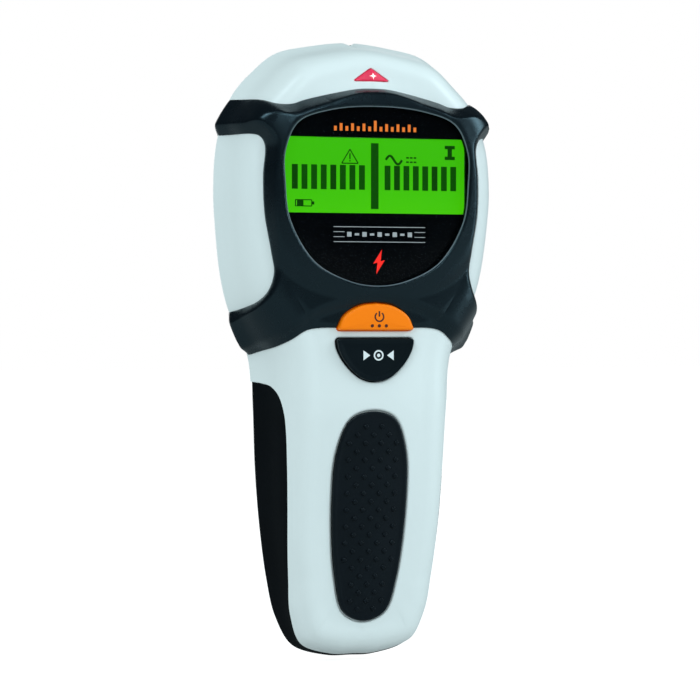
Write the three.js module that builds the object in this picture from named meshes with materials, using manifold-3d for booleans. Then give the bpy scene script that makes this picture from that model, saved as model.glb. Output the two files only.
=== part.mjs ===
// Handheld stud finder: a two-part shell with a rubber frame round a display window, two push
// buttons, a grip pad, a sensor head on the flat back and a 9 V battery under a hinged cover.
// Millimetres. +Z runs up the long axis, the front faces -Y and the flat sensing face is at y = 0.
// A depth in this file is the distance in front of the sensing face, so depth d is at y = -d.
import * as THREE from 'three';
import { mergeVertices } from 'three/addons/utils/BufferGeometryUtils.js';
import Module from 'manifold-3d';

const wasm = await Module();
wasm.setup();

// ---------------------------------------------------------------- driving dimensions
const GAP = 0.3;                    // air between touching pieces
const WALL = 2.2;                   // thickness of both shells
const SHELL_BACK = 0.4;             // depth of the shell's back, behind the proud glide plate
const FRAME_RISE = 3.7;             // how far the rubber frame stands proud of the shell in front
const FRAME_SIDE = 2.6;             // and how far it stands proud at the sides
const COLLAR_DEPTH = 31.7;          // depth of the level collar round the window
const COLLAR_WIDTH = 1.8;
const FRAME_BACK = 4.6;             // depth where the frame's four arms end
const LOOP_STEPS = 32;              // facets down each half of the body's outline
const CROSS_STEPS = 2;              // facets from the spine to each front edge

const GLIDE_WIDTH = 58;             // proud smooth plate on the back of the head
const GLIDE_HEIGHT = 62;
const GLIDE_CORNER = 7;
const GLIDE_THICK = 1.2;

const SEAT_DEPTH = 28.1;            // flat seat of the display window in the front shell
const GLASS_FRONT = 26.7;           // depth of the glass cell's front face
const GLASS_THICK = 2.7;
const BACKLIGHT_THICK = 2;
const MASK_THICK = 0.4;             // printed sheet behind the window
const PANE_THICK = 1.2;             // clear window pane
const PANE_REBATE = 0.6;            // how far the pane reaches behind the frame's lip
const PANE_FRONT = SEAT_DEPTH + MASK_THICK + PANE_THICK + 2 * GAP;
const LCD_HALF_WIDTH = 30.3;        // glass cell, half width
const LCD_LOW = -8.6;               // glass cell, lower edge
const LCD_HIGH = 17.3;              // glass cell, upper edge
const LCD_FRAME_FRONT = 23.4;       // depth of the moulded frame round the glass cell
const LCD_FRAME_GAP = 0.3;          // air between the glass cell and its frame
const LCD_FRAME_WALL = 1.2;
const PICTURE_RISE = 0.2;           // how far the picture layer stands into the mask's opening
const PICTURE_SINK = 0.5;           // how far it reaches into the glass cell
const VIEW_HALF_WIDTH = 29.8;       // visible picture, half width
const VIEW_LOW = -7.7;              // visible picture, lower edge
const VIEW_HIGH = 16.6;             // visible picture, upper edge

const BOARD_BACK = 17.4;            // depth of the main board's back face
const BOARD_THICK = 1.6;
const BOARD_FRONT = BOARD_BACK + BOARD_THICK;
const SENSOR_BACK = 4.0;            // depth of the sensor board's back face
const SENSOR_THICK = 1.4;

const MODE_TOP = 30.8;              // depth of the mode button's top
const CAL_TOP = 29.8;               // depth of the calibration button's top
const FLANGE_BACK = 24.0;           // depth of both buttons' retaining flange
const FLANGE_THICK = 1.3;
const MODE_SWITCH_Z = -41.8;
const CAL_SWITCH_Z = -53.6;

const PAD_THICK = 1.9;
const PAD_RECESS = 1.2;

const BATTERY_WIDTH = 26.5;
const BATTERY_DEPTH = 17.5;
const BATTERY_BODY = 46.3;
const BATTERY_TOP = -66;            // z of the battery's shoulder, below its terminals
const BATTERY_BACK = 2.5;           // depth of the battery's back

const DOOR_HALF_WIDTH = 15.5;
const DOOR_TOP = -59;               // z of the cover's upper edge
const DOOR_THICK = 1.8;
const HINGE_Z = -117;               // z of the cover's hinge line
const BARREL_RADIUS = 2.0;
const HINGE_DEPTH = SHELL_BACK + BARREL_RADIUS;
const PIN_RADIUS = 0.75;

const MARKER_HALF_WIDTH = 6.05;     // the triangular marker light in the front
const MARKER_LOW = 35.15;
const MARKER_HIGH = 39.3;
const MARKER_LED_Z = 36.6;
const WARNING_Z = -23.3;            // the red light behind the window's voltage sign

const SCREW_HOLE = 1.5;             // radius of a case screw's clearance hole
const SCREW_WELL = 2.9;             // radius of the well round a case screw's head
const SCREW_POST = 3.2;             // radius of the post a case screw bites into
const TERMINAL_X = 6.35;            // half the distance between the battery's terminals
const BAY_WALL = 1.2;
const LUG_X = 13.6;                 // middle of each hinge lug
const LUG_WIDTH = 2.4;
const HEAD_SCREWS = [[36.5, 24.5], [35.5, -31]];   // x and z of the two on the right-hand side
const HANDLE_SCREW_Z = -138;
const BOARD_POSTS = [[27, 24.5], [24, -29]];

// Body stations down the right half: x, z of the widest outline, inset of the front edge,
// depth of the front edge, depth of the widest line.
const STATIONS = [
  [0, 49.4, 8, 24.9, 2.7], [14, 47.9, 9, 24.9, 2.7], [25.9, 45, 10, 25, 2.7], [35, 37.4, 10.5, 25.2, 3],
  [41.8, 29.3, 11, 25.5, 5.4], [46.8, 15.4, 11, 26, 7.6], [48.1, 0, 11, 26.2, 8.2],
  [47.4, -11.5, 11, 26.4, 7.6], [45.2, -27.9, 11.2, 26.5, 6.2], [42.1, -38.9, 11.8, 26.8, 5.2],
  [37.2, -48.5, 12.3, 27, 4.6], [34.9, -56, 12.6, 27, 4.4], [34.1, -70, 12.3, 26.4, 4.4],
  [33.5, -90, 12, 24, 4.8], [32.1, -108, 11, 21.8, 4.8], [29.4, -127, 10.3, 19.6, 4.4],
  [26.3, -139.3, 8.4, 18.4, 4], [20.4, -149, 7.2, 17.7, 4], [8, -152.9, 7.4, 17.5, 4],
  [0, -153.1, 7.4, 17.5, 4],
];
// Inset and rise of the flank, as parts of the way from the widest line to the front edge.
const FLANK = [[0.25, 0.3], [0.445, 0.66], [0.735, 0.91], [1, 1]];
const BACK_DRAFT = 0.3;             // how far the side leans in, per mm behind the widest line
const BACK_EDGE_DEPTH = 2.2;        // reach of the rounded back edge
const BACK_EDGE = [[BACK_EDGE_DEPTH, 0], [0.3, 1.6]];   // its inset and rise
// z and depth of the front along the middle.
const SPINE = [
  [38.6, 24.9], [33, 26.9], [28, 28], [0, 28.3], [-40, 28.5], [-60, 28.6], [-71.5, 27.8],
  [-100, 24.5], [-115, 22.5], [-125, 21], [-135, 19.2], [-142.5, 17.4],
];
// z and depth of the joint between the front and rear shells.
const PARTING = [
  [60, 3], [-61.5, 3], [-62.6, 8], [-63.6, 13], [-66.5, 17.4], [-71, 19.3], [-78, 19.9],
  [-100, 18.5], [-120, 15.5], [-133, 13], [-140, 11.4], [-146.5, 9.4], [-150, 7.6], [-160, 4],
];
// Outer edge of the rubber frame seen from the front, right half: the top edge with the upper
// arm, the cut-out that bares the shell's side, the lower arm and the bottom edge.
const FRAME_TOP = [
  [0, 32.5], [5, 32.35], [12, 31.1], [23, 28.5], [27, 27.2], [32, 27.2], [37, 28.8], [56, 29.8],
];
const FRAME_SIDE_CUT = [
  [56, 17.8], [45.9, 17.6], [38.2, 17], [36.4, 14.2], [37, 4], [36.6, -8], [34.5, -20],
  [33.5, -27], [35.5, -33.7], [39.7, -38.5], [46, -40.5], [56, -41.5],
];
const FRAME_BOTTOM = [[56, -56], [37, -54], [33.5, -52.4], [27.4, -48.4], [22, -45.1], [0, -45.1]];
// Opening of the frame round the window, right half.
const LIP = [
  [0, 26.7], [16, 25.3], [27, 21.2], [31.4, 12], [31.5, 2], [29.8, -10.3], [21.5, -23.6],
  [10, -29.7], [0, -31.3],
];
const MODE_KEY = [[0, -36.7], [5.5, -37.5], [10.8, -40.7], [13.05, -45.3]];
const CAL_KEY = [[13.2, -48], [12.5, -51.6], [9.8, -56.2], [5.5, -60.2], [0, -61.8]];
const PAD = [
  [0, -71.5], [7.4, -73.9], [11.7, -84], [12.7, -100], [10.6, -125.5], [7, -137], [0, -140],
];

// ---------------------------------------------------------------- solids
function solid(geometry) {
  const bare = geometry.clone();
  bare.deleteAttribute('normal');
  bare.deleteAttribute('uv');
  const merged = mergeVertices(bare, 1e-4);
  return new wasm.Manifold(new wasm.Mesh({
    numProp: 3,
    vertProperties: new Float32Array(merged.attributes.position.array),
    triVerts: new Uint32Array(merged.index.array),
  }));
}

function geometryOf(body) {
  const mesh = body.getMesh();
  const geometry = new THREE.BufferGeometry();
  geometry.setAttribute('position', new THREE.BufferAttribute(new Float32Array(mesh.vertProperties), 3));
  geometry.setIndex(new THREE.BufferAttribute(new Uint32Array(mesh.triVerts), 1));
  return geometry;
}

// A flat outline in x and z, extruded from one depth to another.
function prism(shape, nearDepth, farDepth, curveSegments = 10) {
  const geometry = new THREE.ExtrudeGeometry(shape, {
    depth: farDepth - nearDepth, bevelEnabled: false, curveSegments,
  });
  geometry.rotateX(Math.PI / 2);
  geometry.translate(0, -nearDepth, 0);
  return geometry;
}

function block(x, z, width, height, nearDepth, farDepth) {
  const geometry = new THREE.BoxGeometry(width, farDepth - nearDepth, height);
  geometry.translate(x, -(nearDepth + farDepth) / 2, z);
  return geometry;
}

function disc(x, z, radius, nearDepth, farDepth, sides = 16) {
  const geometry = new THREE.CylinderGeometry(radius, radius, farDepth - nearDepth, sides);
  geometry.translate(x, -(nearDepth + farDepth) / 2, z);
  return geometry;
}

// A round bar along X.
function bar(radius, halfLength, depth, z, sides = 20) {
  const geometry = new THREE.CylinderGeometry(radius, radius, 2 * halfLength, sides);
  geometry.rotateZ(Math.PI / 2);
  geometry.translate(0, -depth, z);
  return geometry;
}

// A closed outline from a right half whose ends lie on the axis, mirrored in X.
function mirrored(half, steps = 14, grow = 0) {
  const right = half.map(([x, z]) => new THREE.Vector3(x, z, 0));
  const left = right.slice(1, -1).reverse().map((p) => new THREE.Vector3(-p.x, p.y, 0));
  const loop = new THREE.CatmullRomCurve3([...right, ...left], true, 'centripetal');
  const points = loop.getPoints(steps * 2).slice(0, -1);
  return new THREE.Shape(offsetLoop(points.map((p) => new THREE.Vector2(p.x, p.y)), grow));
}

// Moves a clockwise closed loop outwards by an amount.
function offsetLoop(points, amount) {
  if (amount === 0) return points;
  return points.map((point, i) => {
    const before = points[(i + points.length - 1) % points.length];
    const after = points[(i + 1) % points.length];
    const arriving = point.clone().sub(before).normalize();
    const leaving = after.clone().sub(point).normalize();
    const along = arriving.clone().add(leaving).normalize();
    const reach = amount / Math.max(along.dot(arriving), 0.5);
    return new THREE.Vector2(point.x - along.y * reach, point.y + along.x * reach);
  });
}

// A smooth open run of points through a few given ones.
function smooth(points, steps) {
  const curve = new THREE.CatmullRomCurve3(
    points.map(([x, z]) => new THREE.Vector3(x, z, 0)), false, 'centripetal');
  return curve.getPoints(steps).map((p) => new THREE.Vector2(p.x, p.y));
}

// A shape from a right-hand run of points whose ends are on or near the axis.
function mirroredRun(run) {
  const left = run.filter((p) => p.x > 1e-6).reverse().map((p) => new THREE.Vector2(-p.x, p.y));
  return new THREE.Shape([...run, ...left]);
}

function roundedBox(x, z, width, height, radius) {
  const left = x - width / 2;
  const low = z - height / 2;
  const shape = new THREE.Shape();
  shape.moveTo(left + radius, low);
  shape.lineTo(left + width - radius, low);
  shape.absarc(left + width - radius, low + radius, radius, -Math.PI / 2, 0, false);
  shape.lineTo(left + width, low + height - radius);
  shape.absarc(left + width - radius, low + height - radius, radius, 0, Math.PI / 2, false);
  shape.lineTo(left + radius, low + height);
  shape.absarc(left + radius, low + height - radius, radius, Math.PI / 2, Math.PI, false);
  shape.lineTo(left, low + radius);
  shape.absarc(left + radius, low + radius, radius, Math.PI, 1.5 * Math.PI, false);
  return shape;
}

// Piecewise smooth lookup of depth along z, for a table that runs down in z.
function depthAt(table, z) {
  if (z >= table[0][0]) return table[0][1];
  for (let i = 1; i < table.length; i += 1) {
    const [z1, d1] = table[i];
    const [z0, d0] = table[i - 1];
    if (z >= z1) return d0 + (d1 - d0) * (z0 - z) / (z0 - z1);
  }
  return table[table.length - 1][1];
}

// ---------------------------------------------------------------- the body's form
const loopPlace = new THREE.CatmullRomCurve3(mirrorStations(([x, z]) => [x, z, 0]), true, 'centripetal');

function mirrorStations(pick) {
  const right = STATIONS.map((station) => new THREE.Vector3(...pick(station)));
  const left = right.slice(1, -1).reverse().map((p) => new THREE.Vector3(-p.x, p.y, p.z));
  return [...right, ...left];
}

// Inset, front depth and widest depth at a place down the half outline, 0 at top to 1 at bottom.
function stationValues(part) {
  const at = part * (STATIONS.length - 1);
  const low = Math.min(Math.floor(at), STATIONS.length - 2);
  const mix = at - low;
  return [2, 3, 4].map((k) => STATIONS[low][k] * (1 - mix) + STATIONS[low + 1][k] * mix);
}

// The whole body as one solid, grown by an amount at its sides, front and back.
function bodySolid(side, front, back) {
  const rings = [];
  const ringCount = BACK_EDGE.length + 1 + FLANK.length;
  for (let r = 0; r < ringCount; r += 1) rings.push([]);
  for (let j = 0; j <= LOOP_STEPS; j += 1) {
    const part = j / LOOP_STEPS;
    const place = loopPlace.getPoint(part / 2);
    const ahead = loopPlace.getPoint((part / 2 + 0.002) % 1);
    const behind = loopPlace.getPoint((part / 2 + 0.998) % 1);
    const along = new THREE.Vector2(ahead.x - behind.x, ahead.y - behind.y).normalize();
    const out = new THREE.Vector2(-along.y, along.x);
    const [inset, frontDepth, widest] = stationValues(part);
    const base = SHELL_BACK - back;
    const wideDepth = Math.max(widest, base + BACK_EDGE_DEPTH);
    const lean = BACK_DRAFT * Math.max(widest - SHELL_BACK - BACK_EDGE_DEPTH, 0);
    const profile = [
      ...BACK_EDGE.map(([gone, rise]) => [gone + lean, base + rise]),
      [0, wideDepth],
      ...FLANK.map(([a, b]) => [a * inset, wideDepth + b * (frontDepth + front - wideDepth)]),
    ];
    profile.forEach(([gone, depth], r) => {
      const reach = side - gone;
      const x = j === 0 || j === LOOP_STEPS ? 0 : Math.max(place.x + out.x * reach, 0.01);
      rings[r].push(new THREE.Vector3(x, -depth, place.y + out.y * reach));
    });
  }
  return solid(loftGeometry(rings, front));
}

// Joins half rings, mirrored in X, and closes the first ring flat and the last one crowned.
function loftGeometry(rings, front) {
  const positions = [];
  const indices = [];
  const count = 2 * LOOP_STEPS;
  const full = rings.map((half) => {
    const left = half.slice(1, -1).reverse().map((p) => new THREE.Vector3(-p.x, p.y, p.z));
    return [...half, ...left];
  });
  full.forEach((ring) => ring.forEach((p) => positions.push(p.x, p.y, p.z)));
  for (let r = 0; r + 1 < full.length; r += 1) {
    for (let i = 0; i < count; i += 1) {
      const a = r * count + i;
      const b = r * count + (i + 1) % count;
      indices.push(a, a + count, b, b, a + count, b + count);
    }
  }
  addCap(positions, indices, rings[0], 0, (x, z, edge) => edge.y, true);
  addCap(positions, indices, rings[rings.length - 1], (full.length - 1) * count,
    (x, z, edge, across) => {
      const middle = -(depthAt(SPINE, z) + front);
      return edge.y + (middle - edge.y) * (1 - across * across);
    }, false);
  const geometry = new THREE.BufferGeometry();
  geometry.setAttribute('position', new THREE.Float32BufferAttribute(positions, 3));
  geometry.setIndex(indices);
  return geometry;
}

// Closes a ring with rows of quads that run from its right half to its left half.
function addCap(positions, indices, half, start, depth, back) {
  const last = half.length - 1;
  const columns = 2 * CROSS_STEPS;
  const row = (j) => {
    if (j === 0 || j === last) return [start + j];
    const edge = half[j];
    const spineZ = half[0].z + (half[last].z - half[0].z) * (j / last);
    const ids = [];
    for (let c = 0; c <= columns; c += 1) {
      const across = 1 - 2 * c / columns;
      if (c === 0) ids.push(start + j);
      else if (c === columns) ids.push(start + 2 * last - j);
      else {
        const z = spineZ + (edge.z - spineZ) * across * across;
        ids.push(positions.length / 3);
        positions.push(edge.x * across, depth(edge.x * across, z, edge, across), z);
      }
    }
    return ids;
  };
  const triangle = (a, b, c) => (back ? indices.push(a, c, b) : indices.push(a, b, c));
  let above = row(0);
  for (let j = 1; j <= last; j += 1) {
    const below = row(j);
    for (let c = 0; c < columns; c += 1) {
      const a = above[Math.min(c, above.length - 1)];
      const b = above[Math.min(c + 1, above.length - 1)];
      const d = below[Math.min(c, below.length - 1)];
      const e = below[Math.min(c + 1, below.length - 1)];
      if (a !== b) triangle(a, b, d);
      if (d !== e) triangle(b, e, d);
    }
    above = below;
  }
}

const outer = bodySolid(0, 0, 0);
const inner = bodySolid(-WALL, -WALL, -WALL);

// Everything on the back side of the joint between the shells, moved forward by an amount.
function behindParting(forward) {
  const line = PARTING.map(([z, depth]) => new THREE.Vector2(z, depth + forward));
  const shape = new THREE.Shape([new THREE.Vector2(60, -20), ...line, new THREE.Vector2(-160, -20)]);
  const geometry = new THREE.ExtrudeGeometry(shape, { depth: 140, bevelEnabled: false });
  const turn = new THREE.Matrix4().makeBasis(
    new THREE.Vector3(0, 0, 1), new THREE.Vector3(0, -1, 0), new THREE.Vector3(1, 0, 0));
  geometry.applyMatrix4(turn);
  geometry.translate(-70, 0, 0);
  return solid(geometry);
}

const frameOutline = mirroredRun([
  ...smooth(FRAME_TOP, 14), ...smooth(FRAME_SIDE_CUT, 18), ...smooth(FRAME_BOTTOM, 9),
]);
const padShape = (grow) => mirrored(PAD, 15, grow);
const windowShape = (grow) => mirrored(LIP, 17, grow);
const modeShape = (grow) => {
  const dome = smooth(MODE_KEY, 8);
  const left = dome.slice(1).reverse().map((p) => new THREE.Vector2(-p.x, p.y));
  return new THREE.Shape(offsetLoop([...dome, ...left], grow));
};
const calShape = (grow) => {
  const bowl = smooth(CAL_KEY, 10);
  const left = bowl.slice(0, -1).reverse().map((p) => new THREE.Vector2(-p.x, p.y));
  return new THREE.Shape(offsetLoop([...bowl, ...left], grow));
};
const markerShape = (grow) => {
  const shape = new THREE.Shape();
  shape.moveTo(-MARKER_HALF_WIDTH - 1.5 * grow, MARKER_LOW - grow);
  shape.lineTo(0, MARKER_HIGH + 1.3 * grow);
  shape.lineTo(MARKER_HALF_WIDTH + 1.5 * grow, MARKER_LOW - grow);
  shape.closePath();
  return shape;
};

// ---------------------------------------------------------------- pieces
const housing = new THREE.Group();
housing.name = 'housing';
const modeKey = new THREE.Group();
const calKey = new THREE.Group();
const batteryDoor = new THREE.Group();

function piece(group, name, body, colour, roughness = 0.5, metalness = 0) {
  const geometry = body.isBufferGeometry ? body : geometryOf(body);
  const material = new THREE.MeshStandardMaterial({ color: colour, roughness, metalness });
  const mesh = new THREE.Mesh(geometry, material);
  mesh.name = name;
  group.add(mesh);
  return mesh;
}

const WHITE = 0xdfe6ea;
const RUBBER = 0x243036;
const BLACK = 0x14181b;
const STEEL = 0xb9bcc0;
const BOARD_GREEN = 0x1d5a3a;
const mirroredSpots = (spots) => spots.flatMap(([x, z]) => [[x, z], [-x, z]]);

// White front shell: the outer form less its inside, with its posts, openings and the pad's recess.
function frontShell() {
  let shell = outer.subtract(inner).subtract(behindParting(GAP / 2));
  for (const [x, z] of mirroredSpots(HEAD_SCREWS)) {
    shell = shell.add(solid(disc(x, z, SCREW_POST, 3.4, 25)).intersect(outer));
  }
  shell = shell.add(solid(disc(0, HANDLE_SCREW_Z, SCREW_POST, 12.2, 18)).intersect(outer));
  for (const [x, z] of mirroredSpots(BOARD_POSTS)) {
    shell = shell.add(solid(disc(x, z, 2, BOARD_FRONT + GAP, 27, 14)).intersect(outer));
    shell = shell.subtract(solid(disc(x, z, 0.9, BOARD_FRONT, 25, 10)));
  }
  for (const [x, z] of mirroredSpots(HEAD_SCREWS)) {
    shell = shell.subtract(solid(disc(x, z, SCREW_HOLE, 3, 14, 12)));
  }
  shell = shell.subtract(solid(disc(0, HANDLE_SCREW_Z, SCREW_HOLE, 8, 16, 12)));
  shell = shell.subtract(solid(prism(windowShape(PANE_REBATE + GAP), SEAT_DEPTH, 40)));
  const opening = roundedBox(0, (LCD_LOW + LCD_HIGH) / 2, 2 * LCD_HALF_WIDTH + 1.2,
    LCD_HIGH - LCD_LOW + 1.2, 1.5);
  shell = shell.subtract(solid(prism(opening, 20, GLASS_FRONT + GAP, 3)));
  shell = shell.subtract(solid(block(0, (VIEW_LOW + VIEW_HIGH) / 2, 2 * VIEW_HALF_WIDTH,
    VIEW_HIGH - VIEW_LOW, 20, 40)));
  shell = shell.subtract(solid(disc(0, WARNING_Z, 4, 20, 40)));
  shell = shell.subtract(solid(prism(modeShape(GAP), 20, 40)));
  shell = shell.subtract(solid(prism(calShape(GAP), 20, 40)));
  shell = shell.subtract(solid(prism(markerShape(GAP), 15, 40)));
  const recess = solid(prism(padShape(GAP), 5, 40)).subtract(bodySolid(0, -PAD_RECESS, 0));
  const batteryRoom = block(0, BATTERY_TOP - BATTERY_BODY / 2, BATTERY_WIDTH + 2 * GAP,
    BATTERY_BODY + 2 * GAP, BATTERY_BACK, BATTERY_BACK + BATTERY_DEPTH + GAP);
  return shell.subtract(recess).subtract(solid(batteryRoom));
}

// Dark rear shell with the glide plate's recess, screw wells, battery bay and hinge lugs.
function rearShell() {
  let shell = outer.subtract(inner).intersect(behindParting(-GAP / 2));
  const bayTop = BATTERY_TOP + 6.5;
  const bayLow = BATTERY_TOP - BATTERY_BODY - 2.6;
  const bayZ = (bayTop + bayLow) / 2;
  const bayWidth = BATTERY_WIDTH + 2 * GAP;
  const bay = solid(block(0, bayZ, bayWidth + 2 * BAY_WALL, bayTop - bayLow, 2, 15.5))
    .subtract(solid(block(0, bayZ, bayWidth, bayTop - bayLow - 2 * BAY_WALL, 0, 20)))
    .intersect(behindParting(-1.5));
  shell = shell.add(bay);
  shell = shell.add(solid(disc(0, HANDLE_SCREW_Z, 4, 1, 10.6, 18)).intersect(outer));
  shell = shell.subtract(solid(disc(0, HANDLE_SCREW_Z, SCREW_WELL, 0, 6.6, 18)));
  shell = shell.subtract(solid(disc(0, HANDLE_SCREW_Z, SCREW_HOLE, 0, 20, 12)));
  for (const [x, z] of mirroredSpots(HEAD_SCREWS)) {
    shell = shell.subtract(solid(disc(x, z, SCREW_WELL, 0, 1.9, 18)));
    shell = shell.subtract(solid(disc(x, z, SCREW_HOLE, 0, 6, 12)));
  }
  const plate = roundedBox(0, 0, GLIDE_WIDTH + 2 * GAP, GLIDE_HEIGHT + 2 * GAP, GLIDE_CORNER + GAP);
  shell = shell.subtract(solid(prism(plate, 0, GLIDE_THICK + GAP, 5)));
  const doorway = solid(block(0, (DOOR_TOP + GAP + HINGE_Z - BARREL_RADIUS - GAP) / 2,
    2 * (DOOR_HALF_WIDTH + GAP), DOOR_TOP - HINGE_Z + BARREL_RADIUS + 2 * GAP, 0, DOOR_THICK + 0.9));
  const way = solid(block(0, bayZ, bayWidth, bayTop - bayLow - 2 * BAY_WALL, 0, 10));
  shell = shell.subtract(doorway).subtract(way);
  for (const side of [-1, 1]) {
    const lug = solid(block(side * LUG_X, HINGE_Z - 0.4, LUG_WIDTH, 5, 1.2, 5.4))
      .add(solid(block(side * LUG_X, HINGE_Z - 3.6, LUG_WIDTH, 2.6, 0.9, 5.4)));
    shell = shell.add(lug);
  }
  return shell.subtract(solid(bar(PIN_RADIUS + 0.06, 14.2, HINGE_DEPTH, HINGE_Z, 16)));
}

function rubberFrame() {
  const band = bodySolid(FRAME_SIDE, FRAME_RISE, 0)
    .add(solid(prism(windowShape(COLLAR_WIDTH), 20, COLLAR_DEPTH)))
    .subtract(bodySolid(GAP, GAP, 3))
    .intersect(solid(prism(frameOutline, FRAME_BACK, 45)));
  return band.subtract(solid(prism(windowShape(0), 20, 45)))
    .subtract(solid(prism(windowShape(PANE_REBATE + GAP), 20, PANE_FRONT + GAP)))
    .subtract(solid(prism(modeShape(GAP), 20, 45)));
}

function plateWithHole(width, height, openWidth, openHeight, z, near, far) {
  const plate = roundedBox(0, z, width, height, 1);
  plate.holes.push(roundedBox(0, z, openWidth, openHeight, 0.5));
  return prism(plate, near, far, 3);
}

piece(housing, 'front_shell', frontShell(), WHITE, 0.35);
piece(housing, 'rear_shell', rearShell(), BLACK, 0.6);
piece(housing, 'rubber_frame', rubberFrame(), RUBBER, 0.6);
piece(housing, 'glide_plate',
  prism(roundedBox(0, 0, GLIDE_WIDTH, GLIDE_HEIGHT, GLIDE_CORNER), 0, GLIDE_THICK, 5), 0x2b2f33, 0.3);
piece(housing, 'grip_pad', solid(prism(padShape(0), 5, 40))
  .intersect(bodySolid(0, PAD_THICK - PAD_RECESS, 0))
  .subtract(bodySolid(0, GAP - PAD_RECESS, 0)), RUBBER, 0.8);
piece(housing, 'marker_lens', solid(prism(markerShape(0), BOARD_FRONT + 4.6, 40))
  .intersect(bodySolid(0, 0.25, 0)), 0xe0285a, 0.2);

// The display: printed mask and clear pane in the seat, and the glass cell behind them.
const viewZ = (VIEW_LOW + VIEW_HIGH) / 2;
const viewHeight = VIEW_HIGH - VIEW_LOW;
const lcdZ = (LCD_LOW + LCD_HIGH) / 2;
const lcdHeight = LCD_HIGH - LCD_LOW;
const maskNear = SEAT_DEPTH + GAP;
const paneNear = maskNear + MASK_THICK + GAP;
const maskShape = windowShape(PANE_REBATE);
maskShape.holes.push(roundedBox(0, viewZ, 2 * VIEW_HALF_WIDTH, viewHeight, 0.8));
piece(housing, 'window_mask', prism(maskShape, maskNear, maskNear + MASK_THICK, 3), 0x050607, 0.3);
piece(housing, 'display_window', prism(windowShape(PANE_REBATE), paneNear, PANE_FRONT),
  0x101416, 0.05);
const glassNear = GLASS_FRONT - GLASS_THICK;
const picture = block(0, viewZ, 2 * (VIEW_HALF_WIDTH - GAP), viewHeight - 2 * GAP,
  GLASS_FRONT - PICTURE_SINK, SEAT_DEPTH + PICTURE_RISE);
piece(housing, 'lcd_glass', solid(block(0, lcdZ, 2 * LCD_HALF_WIDTH, lcdHeight, glassNear, GLASS_FRONT))
  .add(solid(picture)), 0x58b80a, 0.2);
piece(housing, 'backlight_panel', block(0, lcdZ, 2 * LCD_HALF_WIDTH - 2, lcdHeight - 6,
  glassNear - GAP - BACKLIGHT_THICK, glassNear - GAP), 0xf2f5ea, 0.4);
for (const [name, side] of [['upper', 1], ['lower', -1]]) {
  piece(housing, `contact_strip_${name}`, block(0, lcdZ + side * (lcdHeight / 2 - 1.3), 56, 2,
    BOARD_FRONT + GAP, glassNear - GAP), 0x3a3a3f, 0.8);
}
const holeWidth = 2 * (LCD_HALF_WIDTH + LCD_FRAME_GAP);
const holeHeight = lcdHeight + 2 * LCD_FRAME_GAP;
piece(housing, 'lcd_frame', plateWithHole(holeWidth + 2 * LCD_FRAME_WALL, holeHeight + 2 * LCD_FRAME_WALL,
  holeWidth, holeHeight, lcdZ, BOARD_FRONT + GAP, LCD_FRAME_FRONT), 0xd5d8da, 0.5);

// The main board and what it carries.
function mainBoard() {
  const outline = mirroredRun([
    [0, 39.5], [8, 39.5], [10, 33], [30, 29], [33.5, 22], [33.5, -22], [28, -34], [18, -40],
    [18, -57.5], [0, -57.5],
  ].map(([x, z]) => new THREE.Vector2(x, z)));
  let board = solid(prism(outline, BOARD_BACK, BOARD_FRONT));
  for (const [x, z] of mirroredSpots(BOARD_POSTS)) {
    board = board.subtract(solid(disc(x, z, 1.2, 10, 30, 12)));
  }
  return board;
}
const boardPart = (name, x, z, width, height, thick, colour, front = false) => piece(housing, name,
  front ? block(x, z, width, height, BOARD_FRONT + GAP, BOARD_FRONT + GAP + thick)
    : block(x, z, width, height, BOARD_BACK - GAP - thick, BOARD_BACK - GAP), colour, 0.5);
piece(housing, 'main_board', mainBoard(), BOARD_GREEN, 0.5);
boardPart('microcontroller', 0, 8, 12, 12, 1.4, BLACK);
boardPart('signal_amplifier', -20, 8, 8, 5, 1.4, BLACK);
boardPart('crystal', 12, -4, 10, 4, 3.4, STEEL);
piece(housing, 'buzzer', disc(10, -40, 7, BOARD_BACK - GAP - 5, BOARD_BACK - GAP, 28), BLACK, 0.5);
piece(housing, 'marker_led', disc(0, MARKER_LED_Z, 2.3, BOARD_FRONT + GAP, BOARD_FRONT + 4.3), 0xd02030, 0.2);
piece(housing, 'warning_led', disc(0, WARNING_Z, 2, BOARD_FRONT + GAP, BOARD_FRONT + 5), 0xd02030, 0.2);

// A push switch: a fixed base with a well, and an actuator that belongs to its button.
function addKey(group, name, switchName, shape, top, z, colour) {
  const baseTop = BOARD_FRONT + GAP + 2.6;
  piece(housing, `${switchName}_base`, solid(block(0, z, 6, 6, BOARD_FRONT + GAP, baseTop))
    .subtract(solid(disc(0, z, 1.9, baseTop - 1.7, baseTop + 1))), 0x33363a, 0.5);
  piece(group, `${switchName}_actuator`, disc(0, z, 1.5, baseTop - 0.7, FLANGE_BACK - GAP),
    0x8a2d22, 0.5);
  const flange = solid(prism(shape(1.1), FLANGE_BACK, FLANGE_BACK + FLANGE_THICK));
  const cap = solid(prism(shape(0), FLANGE_BACK, top - 0.8)).add(solid(prism(shape(-0.8), top - 1, top)));
  piece(group, name, flange.add(cap), colour, 0.4);
}
addKey(modeKey, 'mode_button', 'mode_switch', modeShape, MODE_TOP, MODE_SWITCH_Z, 0xf07d10);
addKey(calKey, 'cal_button', 'cal_switch', calShape, CAL_TOP, CAL_SWITCH_Z, 0x15191c);

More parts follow.
